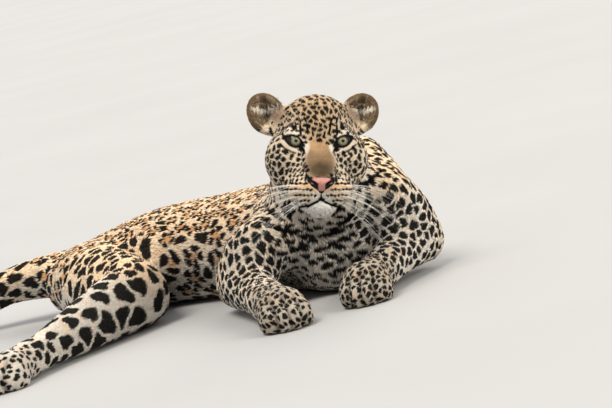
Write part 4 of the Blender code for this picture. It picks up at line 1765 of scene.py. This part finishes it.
@dataclass(frozen=True)
class Grained:
    """A finish that shows a mesh's own colours under a grain.

    pitch is the grain's scale in lumps a metre, contrast how far it lightens and darkens, and relief the
    strength of its bump.
    """

    name: str
    pitch: float
    contrast: float
    relief: float
    gloss: float = 0.12

    def build(self, grain: Tree) -> Material:
        """Makes the material.

        Args:
            grain: The group of the grain.

        Returns:
            The material.
        """
        material, tree, shader = surface(self.name)
        group = put(tree, "Group")
        group.node_tree = grain
        for name, value in (("Pitch", self.pitch), ("Contrast", self.contrast), ("Relief", self.relief)):
            group.inputs[name].default_value = value
        wire(
            tree,
            (own_colours(tree), group.inputs["Colour"]),
            (group.outputs["Colour"], shader["Base Color"]),
            (group.outputs["Roughness"], shader["Roughness"]),
            (group.outputs["Normal"], shader["Normal"]),
        )
        shader["Specular IOR Level"].default_value = self.gloss
        return material


@dataclass(frozen=True)
class WetEye:
    """A wet, clear-coated finish over the eye's own colours."""

    name: str = "wet eye"
    scale: float = 900.0
    rough: Flat = (0.10, 0.22)
    gloss: float = 0.05
    coat: float = 0.35
    coat_rough: float = 0.02

    def build(self) -> Material:
        """Makes the material.

        Returns:
            The material.
        """
        material, tree, shader = surface(self.name)
        rough = put(tree, "MapRange", To_Min=self.rough[0], To_Max=self.rough[1])
        wire(
            tree,
            (own_colours(tree), shader["Base Color"]),
            (object_noise(tree, Scale=self.scale).outputs["Fac"], rough.inputs["Value"]),
            (rough.outputs["Result"], shader["Roughness"]),
        )
        shader["Specular IOR Level"].default_value = self.gloss
        shader["Coat Weight"].default_value = self.coat
        shader["Coat Roughness"].default_value = self.coat_rough
        return material


@dataclass(frozen=True)
class Mottled:
    """A finish that drifts between two linear colours."""

    name: str
    scale: float
    dark: Colour
    light: Colour
    rough: float

    def build(self) -> Material:
        """Makes the material.

        Returns:
            The material.
        """
        material, tree, shader = surface(self.name)
        ramp = put(tree, "ValToRGB")
        for stop, colour in zip(ramp.color_ramp.elements, (self.dark, self.light)):
            stop.color = (*colour, 1.0)
        wire(
            tree,
            (object_noise(tree, Scale=self.scale).outputs["Fac"], ramp.inputs["Fac"]),
            (ramp.outputs["Color"], shader["Base Color"]),
        )
        shader["Roughness"].default_value = self.rough
        return material


def paint_vertices(mesh: Mesh, colours: Rows) -> None:
    """Gives the mesh's vertices their colours.

    Args:
        mesh: The mesh.
        colours: A row for each vertex.
    """
    layer = mesh.color_attributes.new(COLOUR, "FLOAT_COLOR", "POINT")
    rows = np.ones((len(mesh.vertices), 4), np.float32)
    rows[:, :3] = np.clip(colours, 0, 1)
    layer.data.foreach_set("color", rows.ravel())


# ---- the tufts
@dataclass(frozen=True)
class Region:
    """One piece of the coat: its name, what its solids' names begin with, its half of the head and the name
    of a finish as its slot."""

    name: str
    parts: tuple[str, ...]
    half: Half = Half.WHOLE
    slot: Slot = Slot.GOLD


REGIONS = (
    Region("coat_face", ("head",), Half.FRONT),
    Region("coat_crown", ("head", "ear"), Half.BACK),
    Region("coat_neck", ("neck",)),
    Region("coat_chest", ("chest",)),
    Region("coat_flanks", ("abdomen",)),
    Region("coat_rump", ("rump",)),
    Region("coat_arms", ("upper_arm", "forearm"), slot=Slot.PALE),
    Region("coat_forepaws", ("forepaw",), slot=Slot.PALE),
    Region("coat_thighs", ("thigh", "shank"), slot=Slot.PALE),
    Region("coat_hindfeet", ("hindfoot", "hindpaw"), slot=Slot.PALE),
    Region("coat_tail", ("tail",)),
)


@dataclass
class Coat:
    """The fur: closed tapered tufts that grow from the skin and lie along it."""

    field: SkinField
    markings: Markings
    material: Material
    seed: int = 23
    patch: float = 0.003
    most_tufts: int = 49000
    face_back: float = 34.0
    bare_below: float = 22.0 * MM
    lie_spread: float = 0.13
    lie_drift: float = 0.16
    ear_length: float = 9.0
    ear_lift: float = 4.0
    root_depth: float = 0.6 * MM
    tone: float = 0.07
    # painted shade on each tuft's two root corners and painted light on its tip
    shades: tuple[float, ...] = (0.74, 0.74, 1.0, 1.06)

    def build(self) -> int:
        """Grows every piece of the coat.

        Returns:
            How many tufts there are.
        """
        total = 0
        for region in REGIONS:
            piece = self.grow(region)
            if piece is None:
                LOG.warning("%s has no skin of its own", region.name)
                continue
            piece.data.materials.append(self.material)
            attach(piece, BODY)
            count = len(piece.data.polygons) // 4
            LOG.info("%s: %d tufts", region.name, count)
            total += count
        return total

    def faces_of(self, region: Region) -> Rows:
        """Finds the skin that a region covers.

        Args:
            region: The region.

        Returns:
            The numbers of its triangles.
        """
        first = self.field.triangles[:, 0]
        labels = self.field.label[first]
        front = self.field.local[first, 1] < self.face_back
        chosen = np.zeros(len(labels), bool)
        for index, node in enumerate(self.field.nodes):
            if not node.startswith(region.parts):
                continue
            own = labels == index
            if node == "head" and region.half is not Half.WHOLE:
                own &= front if region.half is Half.FRONT else ~front
            chosen |= own
        middle = self.field.points[self.field.triangles].mean(axis=1)
        down = self.field.normals[first, 2] < -0.7
        chosen &= ~(down & (middle[:, 2] < self.bare_below))
        return np.flatnonzero(chosen & ~self.closed_in(middle))

    def closed_in(self, middle: Rows) -> Rows:
        """Marks the triangles in the eyes' openings and under the nose's leather.

        Args:
            middle: The triangles' middles.

        Returns:
            True where no hair grows.
        """
        local = self.field.head.local(middle)
        flat = local[:, [0, 2]]
        inside = np.zeros(len(middle), bool)
        face = self.markings.paint.face
        for side in SIDES:
            inside |= face.opening_share(flat, side) < 1.22
        inside |= face.nose_edge(flat) > 0.4
        return inside & (local[:, 1] < 25)

    def unwrap(self, faces: Rows) -> Rows:
        """Unwraps part of the skin.

        Args:
            faces: The numbers of its triangles.

        Returns:
            Each triangle's three places on the map.
        """
        rows, inverse = np.unique(self.field.triangles[faces], return_inverse=True)
        mesh = mesh_of("unwrap", self.field.points[rows], inverse.reshape(-1, 3))
        piece = object_of(mesh)
        bpy.context.view_layer.objects.active = piece
        piece.select_set(True)
        bpy.ops.object.mode_set(mode="EDIT")
        bpy.ops.mesh.select_all(action="SELECT")
        bpy.ops.uv.smart_project(angle_limit=math.radians(66), island_margin=0.0)
        bpy.ops.object.mode_set(mode="OBJECT")
        places = rows_of(mesh.uv_layers.active.data, "uv", 2)
        bpy.data.objects.remove(piece)
        return places.reshape(len(faces), 3, 2).astype(np.float64)

    def at(self, values: Rows, faces: Rows, weights: Rows) -> Rows:
        """A vertex value read inside triangles."""
        rows = values[self.field.triangles[faces]]
        return (rows * (weights[:, :, None] if rows.ndim == 3 else weights)).sum(axis=1)

    def grow(self, region: Region) -> Piece | None:
        """Grows one piece of the coat.

        Args:
            region: The region.

        Returns:
            The piece, or None where the region has no skin.
        """
        faces = self.faces_of(region)
        if not len(faces):
            return None
        rng = np.random.default_rng(self.seed + sum(map(ord, region.name)))
        corners = self.field.points[self.field.triangles[faces]]
        areas = np.linalg.norm(crossed(corners), axis=1) / 2
        room = self.field.plan["room"][self.field.triangles[faces]].mean(axis=1) * MM**2
        wanted = np.cumsum(areas / room)
        if wanted[-1] > self.most_tufts:
            LOG.info("%s thinned from %d", region.name, wanted[-1])
            wanted *= self.most_tufts / wanted[-1]
        count = int(wanted[-1])
        steps = np.minimum(np.arange(count) + rng.random(count), wanted[-1] - 1e-6)
        chosen = np.searchsorted(wanted, steps)
        weights = scattered(rng, count)
        mesh = self.tufts(region.name, weighted(corners[chosen], weights), faces[chosen], weights, rng)
        places = weighted(self.unwrap(faces)[chosen], weights)
        self.lay_map(mesh, np.clip(places, self.patch, 1 - self.patch))
        return object_of(mesh)

    def tufts(
        self,
        name: str,
        roots: Rows,
        owners: Rows,
        weights: Rows,
        rng: Chance,
    ) -> Mesh:
        """Makes the mesh of many tufts.

        Args:
            name: The mesh's name.
            roots: Where the tufts grow.
            owners: The skin triangle of each.
            weights: The place in that triangle.
            rng: The source of chance.

        Returns:
            The mesh, with its colours.
        """
        sizes = ("length", "width", "lift")
        plan = {key: self.at(self.field.plan[key], owners, weights) for key in sizes}
        normals = unit(self.at(self.field.normals, owners, weights))
        lie = unit(self.at(self.field.lie, owners, weights))
        count = len(roots)
        turn = rng.normal(0, self.lie_spread, count) + self.lie_drift * ripple(roots, 16 * MM, 9)
        turn = turn[:, None]
        lie = lie * np.cos(turn) + np.cross(normals, lie) * np.sin(turn)
        side = np.cross(normals, lie)
        near = self.field.triangles[owners, weights.argmax(axis=1)]
        cup = self.cup_share(roots, near)
        plan["length"] = plan["length"] + self.ear_length * cup
        plan["lift"] = plan["lift"] + self.ear_lift * cup
        long = plan["length"] * rng.uniform(0.75, 1.2, count) * MM
        wide = plan["width"] * rng.uniform(0.75, 1.2, count) * MM / 2
        lift = plan["lift"] * rng.uniform(0.5, 1.5, count) * MM
        tips = roots + lie * long[:, None]
        for number, tip in enumerate(tips.tolist()):
            hit = self.field.tree.find_nearest(tip)
            tips[number] = hit[0] + hit[1] * lift[number]
        ridge = (roots + tips) / 2 + normals * (lift * 0.75)[:, None]
        base = roots - normals * self.root_depth
        half = side * wide[:, None]
        points = np.stack([base + half, base - half, ridge, tips], axis=1)
        spike = np.array([[0, 3, 2], [1, 2, 3], [0, 2, 1], [0, 1, 3]])
        faces = spike + np.arange(count)[:, None, None] * 4
        mesh = mesh_of(name, points.reshape(-1, 3), faces.reshape(-1, 3))
        tone = rng.normal(1.0, self.tone, count)[:, None]
        colours = self.markings.colours(roots * 0.4 + tips * 0.6, near) * tone
        # painted shade darkens the tufts' roots and painted light brightens their tips
        shades = np.array(self.shades)
        paint_vertices(mesh, (colours[:, None, :] * shades[None, :, None]).reshape(-1, 3))
        return mesh

    def cup_share(self, rows: Rows, near: Rows) -> Rows:
        """Finds the hollows of the ears, where long hair grows.

        Args:
            rows: Rows of places.
            near: A skin vertex near each.

        Returns:
            1 in a hollow, 0 elsewhere.
        """
        reach = np.linalg.norm(self.markings.paint.ear_place(self.field.head.local(rows)), axis=1)
        front = self.field.faces_forwards(near)
        return (1 - ease(0.45, 0.75, reach)) * front * self.markings.ear_share[near]

    def lay_map(self, mesh: Mesh, centres: Rows) -> None:
        """Gives every tuft its own small patch on the skin's map.

        Args:
            mesh: The tufts.
            centres: Each root's place on the map.
        """
        half = self.patch / 2
        corners = np.array(((-half, -half), (half, -half), (0.0, 0.0), (0.0, half)))
        places = (centres[:, None, :] + corners[None]).reshape(-1, 2)
        loops = rows_of(mesh.loops, "vertex_index", 1, np.int32)[:, 0]
        layer = mesh.uv_layers.new(name=BAKE_MAP)
        layer.data.foreach_set("uv", places[loops].astype(np.float32).ravel())


# ---- eyes, nose and whiskers
@dataclass
class EyePair:
    """The eyes: balls with a low cornea, a ringed iris and a small round pupil."""

    head: Head
    material: Material
    iris: float = 9.5
    pupil: float = 2.6
    look: Point = (0.075, -1.0, -0.03)
    sunk: float = 0.3
    cornea: float = 1.1
    upper_shade: float = 0.65
    spokes: tuple[Flat, ...] = ((17, 0.3), (29, 1.9), (43, 4.1))

    def build(self, side: int) -> Piece:
        """Builds one eye in place of its solid.

        Args:
            side: 1 for the left eye, -1 for the right one.

        Returns:
            The eye.
        """
        name = "left" if side > 0 else "right"
        mesh = ball(f"eyeball_{name}", 5)
        rays = unit(vertex_rows(mesh))
        look = unit(np.array(self.look))
        radius = self.head.eye_radius
        along = rays @ look
        off = np.sqrt(np.maximum(1 - along**2, 0)) * radius
        off = np.where(along > 0, off, radius)
        dome = 1 - ease(0.0, self.iris + 1.5, off)
        reach = radius - self.sunk + self.cornea * dome
        rows = np.array(self.head.eye) * (side, 1, 1) + rays * reach[:, None]
        place_vertices(mesh, self.head.world(rows))
        paint_vertices(mesh, self.colours(rays, look, off))
        mesh.shade_smooth()
        piece = object_of(mesh)
        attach(piece, BODY)
        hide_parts(f"eye_{name}")
        mesh.materials.append(self.material)
        return piece

    def colours(self, rays: Rows, look: Rows, off: Rows) -> Rows:
        """The colours over one eyeball: pupil, iris with spokes and a dark edge, then the dark white.

        Args:
            rays: Directions from its middle.
            look: The way it looks.
            off: How far each lies off that way.

        Returns:
            Rows of colours.
        """
        level = unit(np.cross(look, (0.0, 0.0, 1.0)))
        angle = np.arctan2(rays @ np.cross(level, look), rays @ level)
        spokes = sum(np.sin(angle * count + shift) for count, shift in self.spokes) / len(self.spokes)
        share = off / self.iris
        colour = plain(srgb(132, 131, 106), len(off))
        colour = mix(colour, srgb(86, 87, 68), ease(0.45, 0.80, share))
        colour = colour * (1 + 0.18 * spokes * ease(0.25, 0.6, share))[:, None]
        colour = mix(colour, srgb(126, 108, 74), (1 - ease(0.30, 0.48, share)) * 0.6)
        colour = mix(colour, srgb(34, 31, 25), ease(0.76, 0.96, share))
        colour = mix(colour, srgb(48, 37, 30), ease(1.02, 1.1, share))
        shade = 1 - self.upper_shade * ease(0.5, 7.0, rays[:, 2] * self.head.eye_radius)
        dark = 1 - ease(self.pupil - 0.25, self.pupil + 0.25, off)
        return mix(colour * shade[:, None], np.array((0.004, 0.004, 0.004)), dark)


@dataclass
class LidRims:
    """The dark wet rims of the lids, as rings on the edges of the openings."""

    head: Head
    face: Face
    material: Material
    thick: float = 1.5
    outside: float = 0.9
    count: int = 64
    sides: int = 8

    def build(self) -> Piece:
        """Builds both rims as one piece.

        Returns:
            The piece.
        """
        points, faces = [], []
        number, step = np.divmod(np.arange(self.count * self.sides), self.sides)
        after, beside = (number + 1) % self.count, (step + 1) % self.sides
        corners = ((number, step), (after, step), (after, beside), (number, beside))
        quads = np.stack([along * self.sides + round_ for along, round_ in corners], axis=1)
        for side in SIDES:
            centre = np.array(self.head.eye) * (side, 1, 1)
            path = self.ring(centre, self.face.opening_line(side, self.outside, self.count))
            ahead = unit(np.roll(path, -1, axis=0) - np.roll(path, 1, axis=0))
            out = unit(path - centre)
            across = np.cross(ahead, out)
            turn = (2 * math.pi * step / self.sides)[:, None]
            faces.append(quads + sum(map(len, points)))
            points.append(
                path[number] + self.thick * (across[number] * np.cos(turn) + out[number] * np.sin(turn))
            )
        mesh = mesh_of("lid_rims", self.head.world(np.concatenate(points)), np.concatenate(faces))
        turn_outwards(mesh)
        paint_vertices(mesh, plain(srgb(30, 25, 23), len(mesh.vertices)))
        piece = object_of(mesh)
        piece.data.materials.append(self.material)
        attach(piece, BODY)
        return piece

    def ring(self, centre: Rows, line: Sequence[Flat]) -> Rows:
        """Lays the line of an opening on a ball a little larger than the eye.

        Args:
            centre: The eye's middle in head units.
            line: The line's points, as x and z.

        Returns:
            Rows of places in head units.
        """
        offset = np.array(line) - centre[[0, 2]]
        reach = self.head.eye_radius + self.outside
        deep = np.sqrt(np.maximum(reach**2 - np.square(offset).sum(axis=1), 4.0))
        return centre + np.stack([offset[:, 0], -deep, offset[:, 1]], axis=1)


@dataclass
class NosePad:
    """The leather of the nose: a broad top with two curling wings, and a stem down to the lip."""

    head: Head
    face: Face
    material: Material
    columns: int = 61
    rows: int = 45
    sunk: float = 0.8
    thick: float = 2.4
    nostril: tuple[Flat, ...] = ((20.0, -62.0), (16.5, -65.5), (11.5, -68.0), (8.5, -70.5))
    nostril_depth: float = 5.5
    groove_depth: float = 0.9
    back: float = 7.0

    def build(self) -> Piece:
        """Builds the nose as one closed piece in place of its solid.

        Returns:
            The piece.
        """
        heights, halves = (np.array(column) for column in zip(*self.face.nose))
        across = np.linspace(-1, 1, self.columns)
        down = np.linspace(0, 1, self.rows)
        z = np.repeat((heights[0] + (heights[-1] - heights[0]) * down)[:, None], self.columns, axis=1)
        half = np.interp(-z, -heights, halves)
        x = across[None, :] * half
        z = z + self.face.wing_rise * np.abs(across[None, :]) ** 3 * (1 - down[:, None]) ** 1.5
        flat = np.stack([x.ravel(), z.ravel()], axis=1)
        outer = self.head.front_of(flat, -90.0, 1.2)
        inner = outer + (0.0, self.back, 0.0)
        hole = 1 - ease(0.8, 3.0, segment_distance(np.abs(flat) * (1, -1), self.nostril))
        groove = 1 - ease(0.3, 1.4, np.abs(flat[:, 0]))
        rise = self.thick * ease(-0.2, 3.0, self.face.nose_edge(flat)) - self.sunk
        rise -= self.nostril_depth * hole + self.groove_depth * groove * ease(-66, -74, flat[:, 1])
        outer[:, 1] -= rise
        grid = np.arange(self.rows * self.columns).reshape(self.rows, self.columns)
        corners = (grid[:-1, :-1], grid[1:, :-1], grid[1:, 1:], grid[:-1, 1:])
        quads = np.stack([corner.ravel() for corner in corners], axis=1)
        border = np.concatenate([grid[0], grid[1:, -1], grid[-1, -2::-1], grid[-2:0:-1, 0]])
        after = np.roll(border, -1)
        walls = np.stack([border, after, grid.size + after, grid.size + border], axis=1)
        faces = np.concatenate([quads, grid.size + quads[:, ::-1], walls])
        mesh = mesh_of("nose_pad", self.head.world(np.concatenate([outer, inner])), faces)
        turn_outwards(mesh)
        paint_vertices(mesh, np.tile(self.colours(flat, hole), (2, 1)))
        piece = object_of(mesh)
        mesh.materials.append(self.material)
        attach(piece, BODY)
        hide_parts("nose")
        return piece

    def colours(self, flat: Rows, hole: Rows) -> Rows:
        """Pink in the middle, black on the wings, along the edge and in the nostrils.

        Args:
            flat: Rows of x and z.
            hole: 1 in the nostrils.

        Returns:
            Rows of colours.
        """
        pink = plain(srgb(180, 128, 118), len(flat))
        pink = pink * (1 + 0.10 * ripple(np.c_[flat, flat[:, :1]], 3.0, 8))[:, None]
        black = np.array(srgb(30, 25, 25))
        width = np.abs(flat[:, 0])
        wing = ease(13.0, 17.5, width + 0.35 * (flat[:, 1] + 66))
        stem = ease(-67.5, -71.0, flat[:, 1]) * ease(4.0, 6.5, width)
        rim = ease(-79.5, -82.5, flat[:, 1])
        dark = np.maximum(np.maximum(wing, stem), np.maximum(rim, ease(0.1, 0.6, hole)))
        return mix(pink, black, dark)


@dataclass
class Whiskers:
    """Whiskers, brow hairs and chin hairs: tapered curved hairs, swept by Geometry Nodes."""

    head: Head
    material: Material
    seed: int = 5
    rows: tuple[Point, ...] = ((-72, 30, 46), (-80, 24, 50), (-88.5, 20, 44), (-97, 22, 36))
    in_row: int = 5
    brow_hairs: int = 5
    chin_hairs: int = 7
    whisker: float = 0.26
    brow_hair: float = 0.22
    chin_hair: float = 0.18
    points: int = 12

    def build(self) -> Piece:
        """Builds all the long pale hairs as one piece.

        Returns:
            The piece.
        """
        rng = np.random.default_rng(self.seed)
        points, radii, edges = [], [], []
        for path, radius in self.paths(rng):
            start = len(points)
            for number, place in enumerate(path):
                points.append(place)
                share = number / (len(path) - 1)
                radii.append(radius * MM * (1 - 0.86 * share**1.3))
                if number:
                    edges.append((start + number - 1, start + number))
        mesh = bpy.data.meshes.new("whiskers")
        mesh.from_pydata(self.head.world(points).tolist(), edges, [])
        layer = mesh.attributes.new("thickness", "FLOAT", "POINT")
        layer.data.foreach_set("value", np.array(radii, np.float32))
        piece = object_of(mesh)
        modifier = piece.modifiers.new("Sweep", "NODES")
        modifier.node_group = self.sweep(self.material)
        apply_modifiers(piece)
        piece.data.name = piece.name
        paint_vertices(piece.data, plain(srgb(240, 236, 226), len(piece.data.vertices)))
        piece.data.shade_smooth()
        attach(piece, BODY)
        return piece

    def root(self, x: float, z: float) -> Rows:
        """The place on the head's surface in front of x and z."""
        return self.head.front_of(np.array([[x, z]]), -95.0, 2.0)[0]

    def paths(self, rng: Chance) -> list[tuple[Rows, float]]:
        """Draws the paths of all hairs, in head units.

        Args:
            rng: The source of chance.

        Returns:
            Each path with the radius at its root.
        """
        paths = []
        for side in SIDES:
            for row, (height, start, end) in enumerate(self.rows):
                for step in range(self.in_row):
                    share = step / (self.in_row - 1)
                    along = start + (end - start) * share
                    root = self.root(side * along, height + rng.uniform(-0.6, 0.6))
                    aim = (side * 1.0, -0.52 + 0.85 * share, 0.04 - 0.16 * row + rng.normal(0, 0.08))
                    length = 50 + 56 * math.sin(math.pi * (0.25 + 0.6 * share))
                    length = length * rng.uniform(0.75, 1.2)
                    droop = (0.0, 0.42 + 0.2 * rng.random(), -0.62 + 0.02 * row + rng.normal(0, 0.08))
                    paths.append((self.bend(root, aim, droop, length), self.whisker))
            for step in range(self.brow_hairs):
                root = self.root(side * (30 + 4.5 * step), 25 + 1.2 * step)
                aim, droop = (side * (0.1 + 0.16 * step), -0.75, 0.75), (side * 0.25, 0.45, 0.1)
                paths.append((self.bend(root, aim, droop, 34 * rng.uniform(0.8, 1.2)), self.brow_hair))
            for step in range(self.chin_hairs):
                root = self.root(side * (3 + 3.2 * step), -116 - 1.3 * (step % 3) * 2)
                aim, droop = (side * 0.25, -0.6, -0.9), (0.0, 0.6, -0.2)
                paths.append((self.bend(root, aim, droop, 15 * rng.uniform(0.7, 1.2)), self.chin_hair))
        return paths

    def bend(self, root: Rows, aim: Point, droop: Point, length: float) -> Rows:
        """A curved path from a root along an aim, bending towards a droop.

        Args:
            root: Where it leaves the head.
            aim: The way it sets out.
            droop: The way it bends.
            length: How long it is.

        Returns:
            Rows of places in head units.
        """
        aim, droop = unit(np.array(aim)), np.array(droop)
        shares = np.linspace(0, 1, self.points)[:, None]
        return root - aim * 1.5 + (aim * shares + droop * shares**2 * 0.5) * length

    def sweep(self, material: Material) -> Tree:
        """Builds the nodes that give each line its own round thickness and the material.

        Args:
            material: The hairs' material.

        Returns:
            The node group.
        """
        group = bpy.data.node_groups.new("hair sweep", "GeometryNodeTree")
        group.interface.new_socket(name="Lines", in_out="INPUT", socket_type="NodeSocketGeometry")
        sides = group.interface.new_socket(name="Sides", in_out="INPUT", socket_type="NodeSocketInt")
        sides.default_value = 5
        group.interface.new_socket(name="Hairs", in_out="OUTPUT", socket_type="NodeSocketGeometry")
        entry, leave = put(group, "NodeGroupInput").outputs, put(group, "NodeGroupOutput").inputs
        curve, real = put(group, "MeshToCurve"), put(group, "RealizeInstances")
        radius = put(group, "InputNamedAttribute", Name="thickness")
        radius.data_type = "FLOAT"
        profile = put(group, "CurvePrimitiveCircle", Radius=1.0)
        tube = put(group, "CurveToMesh", Fill_Caps=True)
        finish = put(group, "SetMaterial", Material=material)
        wire(
            group,
            (entry["Lines"], curve.inputs["Mesh"]),
            (radius.outputs["Attribute"], tube.inputs["Scale"]),
            (entry["Sides"], profile.inputs["Resolution"]),
            (curve.outputs["Curve"], tube.inputs["Curve"]),
            (profile.outputs["Curve"], tube.inputs["Profile Curve"]),
            (tube.outputs["Mesh"], real.inputs["Geometry"]),
            (real.outputs["Geometry"], finish.inputs["Geometry"]),
            (finish.outputs["Geometry"], leave["Hairs"]),
        )
        return group



# ---- the studio
@dataclass(frozen=True)
class Sun:
    """A soft distant light: the way it shines, its power, how wide it is in degrees and its colour."""

    name: str
    aim: Point
    power: float
    spread: float
    colour: Colour


@dataclass
class Studio:
    """A plain pale floor, soft light and the camera."""

    head: Head
    suns: tuple[Sun, ...] = (
        Sun("key", (0.35, 0.50, -1.0), 2.7, 28.0, (1.0, 0.95, 0.87)),
        Sun("fill", (-1.0, 0.70, -0.60), 2.2, 40.0, (1.0, 0.95, 0.87)),
        Sun("rim", (-0.35, -0.9, -0.6), 1.4, 40.0, (1.0, 0.93, 0.84)),
    )
    sky: Colour = (0.88, 0.92, 1.0)
    sky_strength: float = 0.74
    lens: float = 200.0
    sensor: float = 36.0
    distance: float = 5.484
    elevation: float = 6.0
    roll: float = 13.5
    aim: Point = (-0.0434, 0.0, -0.0949)
    floor_size: float = 60.0

    def build(self) -> None:
        """Builds the floor, the lights and the camera."""
        self.floor()
        self.lights()
        self.camera()

    def floor(self) -> None:
        """Lays a wide plain floor, whose far edge no view shows."""
        bm = bmesh.new()
        bmesh.ops.create_grid(bm, x_segments=8, y_segments=8, size=self.floor_size / 2)
        floor = object_of(mesh_from(bm, "floor"))
        paint = Mottled("pale floor", 1.5, (0.38, 0.372, 0.36), (0.42, 0.41, 0.397), 0.9)
        floor.data.materials.append(paint.build())

    def lights(self) -> None:
        """A broad sun from above, a weaker one from the right, one from behind, and a pale sky."""
        for sun in self.suns:
            lamp = bpy.data.lights.new(sun.name, "SUN")
            lamp.energy = sun.power
            lamp.color = sun.colour
            lamp.angle = math.radians(sun.spread)
            light = bpy.data.objects.new(sun.name, lamp)
            light.location = -4 * Vector(sun.aim)
            light.rotation_euler = Vector(sun.aim).to_track_quat("-Z", "Y").to_euler()
            bpy.context.scene.collection.objects.link(light)
        world = bpy.data.worlds.new("sky")
        world.use_nodes = True
        background = world.node_tree.nodes["Background"].inputs
        background["Color"].default_value = (*self.sky, 1.0)
        background["Strength"].default_value = self.sky_strength
        bpy.context.scene.world = world
        bpy.context.scene.view_settings.view_transform = "Standard"

    def camera(self) -> None:
        """A long lens in front of the face, rolled so that the floor slopes across the picture."""
        elevation, roll = math.radians(self.elevation), math.radians(self.roll)
        forward = Vector((0, math.cos(elevation), -math.sin(elevation)))
        level = forward.cross(Vector((0, 0, 1))).normalized()
        rise = level.cross(forward).normalized()
        up = level * math.sin(roll) + rise * math.cos(roll)
        right = level * math.cos(roll) - rise * math.sin(roll)
        target = self.head.matrix.translation + Vector(self.aim)
        pose = Matrix((right, up, -forward)).transposed().to_4x4()
        pose.translation = target - forward * self.distance
        lens = bpy.data.cameras.new("camera")
        lens.lens = self.lens
        lens.sensor_width = self.sensor
        lens.clip_end = 200.0
        view = bpy.data.objects.new("camera", lens)
        view.matrix_world = pose
        bpy.context.scene.collection.objects.link(view)
        bpy.context.scene.camera = view


def main() -> None:
    """Builds every piece and reports it."""
    logging.basicConfig(level=logging.INFO, format="%(name)s: %(message)s")
    head, face, ear = Head(), Face(), Ear()
    skin = Skin(head, face, ear).build()
    skin.data.materials.clear()
    skin.data.shade_smooth()
    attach(skin, BODY)
    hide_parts(*FLESH, "ear_left", "ear_right")
    LOG.info("skin: %d triangles", len(triangle_rows(skin.data)))
    grain = hair_grain()
    hide = Grained("skin", 900.0, 0.25, 0.8).build(grain)
    fur = Grained("coat hair", 500.0, 0.16, 0.25).build(grain)
    leather = Grained("leather", 1400.0, 0.10, 0.9).build(grain)
    wet = WetEye().build()
    hair = Mottled("whisker hair", 60.0, WHISKER_DARK, WHISKER_LIGHT, 0.35).build()
    growth = SkinField(skin, head)
    LOG.info("coat's lie and sizes: %d vertices", len(growth.points))
    markings = Markings(growth, FacePaint(face, ear))
    LOG.info("marks: %d dark, %d warm", len(markings.dark.centres), len(markings.rings.centres))
    colours = markings.colours(growth.points, np.arange(len(growth.points)))
    paint_vertices(skin.data, colours * SKIN_SHADE)
    skin.data.materials.append(hide)
    LOG.info("tufts: %d", Coat(growth, markings, fur).build())
    pieces = [EyePair(head, wet).build(side) for side in SIDES]
    pieces += [part(head, face, leather).build() for part in (LidRims, NosePad)]
    pieces.append(Whiskers(head, hair).build())
    for piece in pieces:
        LOG.info("%s: %d faces", piece.name, len(piece.data.polygons))
    studio = Studio(head)
    studio.build()
    LOG.info("studio: floor, %d suns and camera", len(studio.suns))


if __name__ == "__main__":
    main()
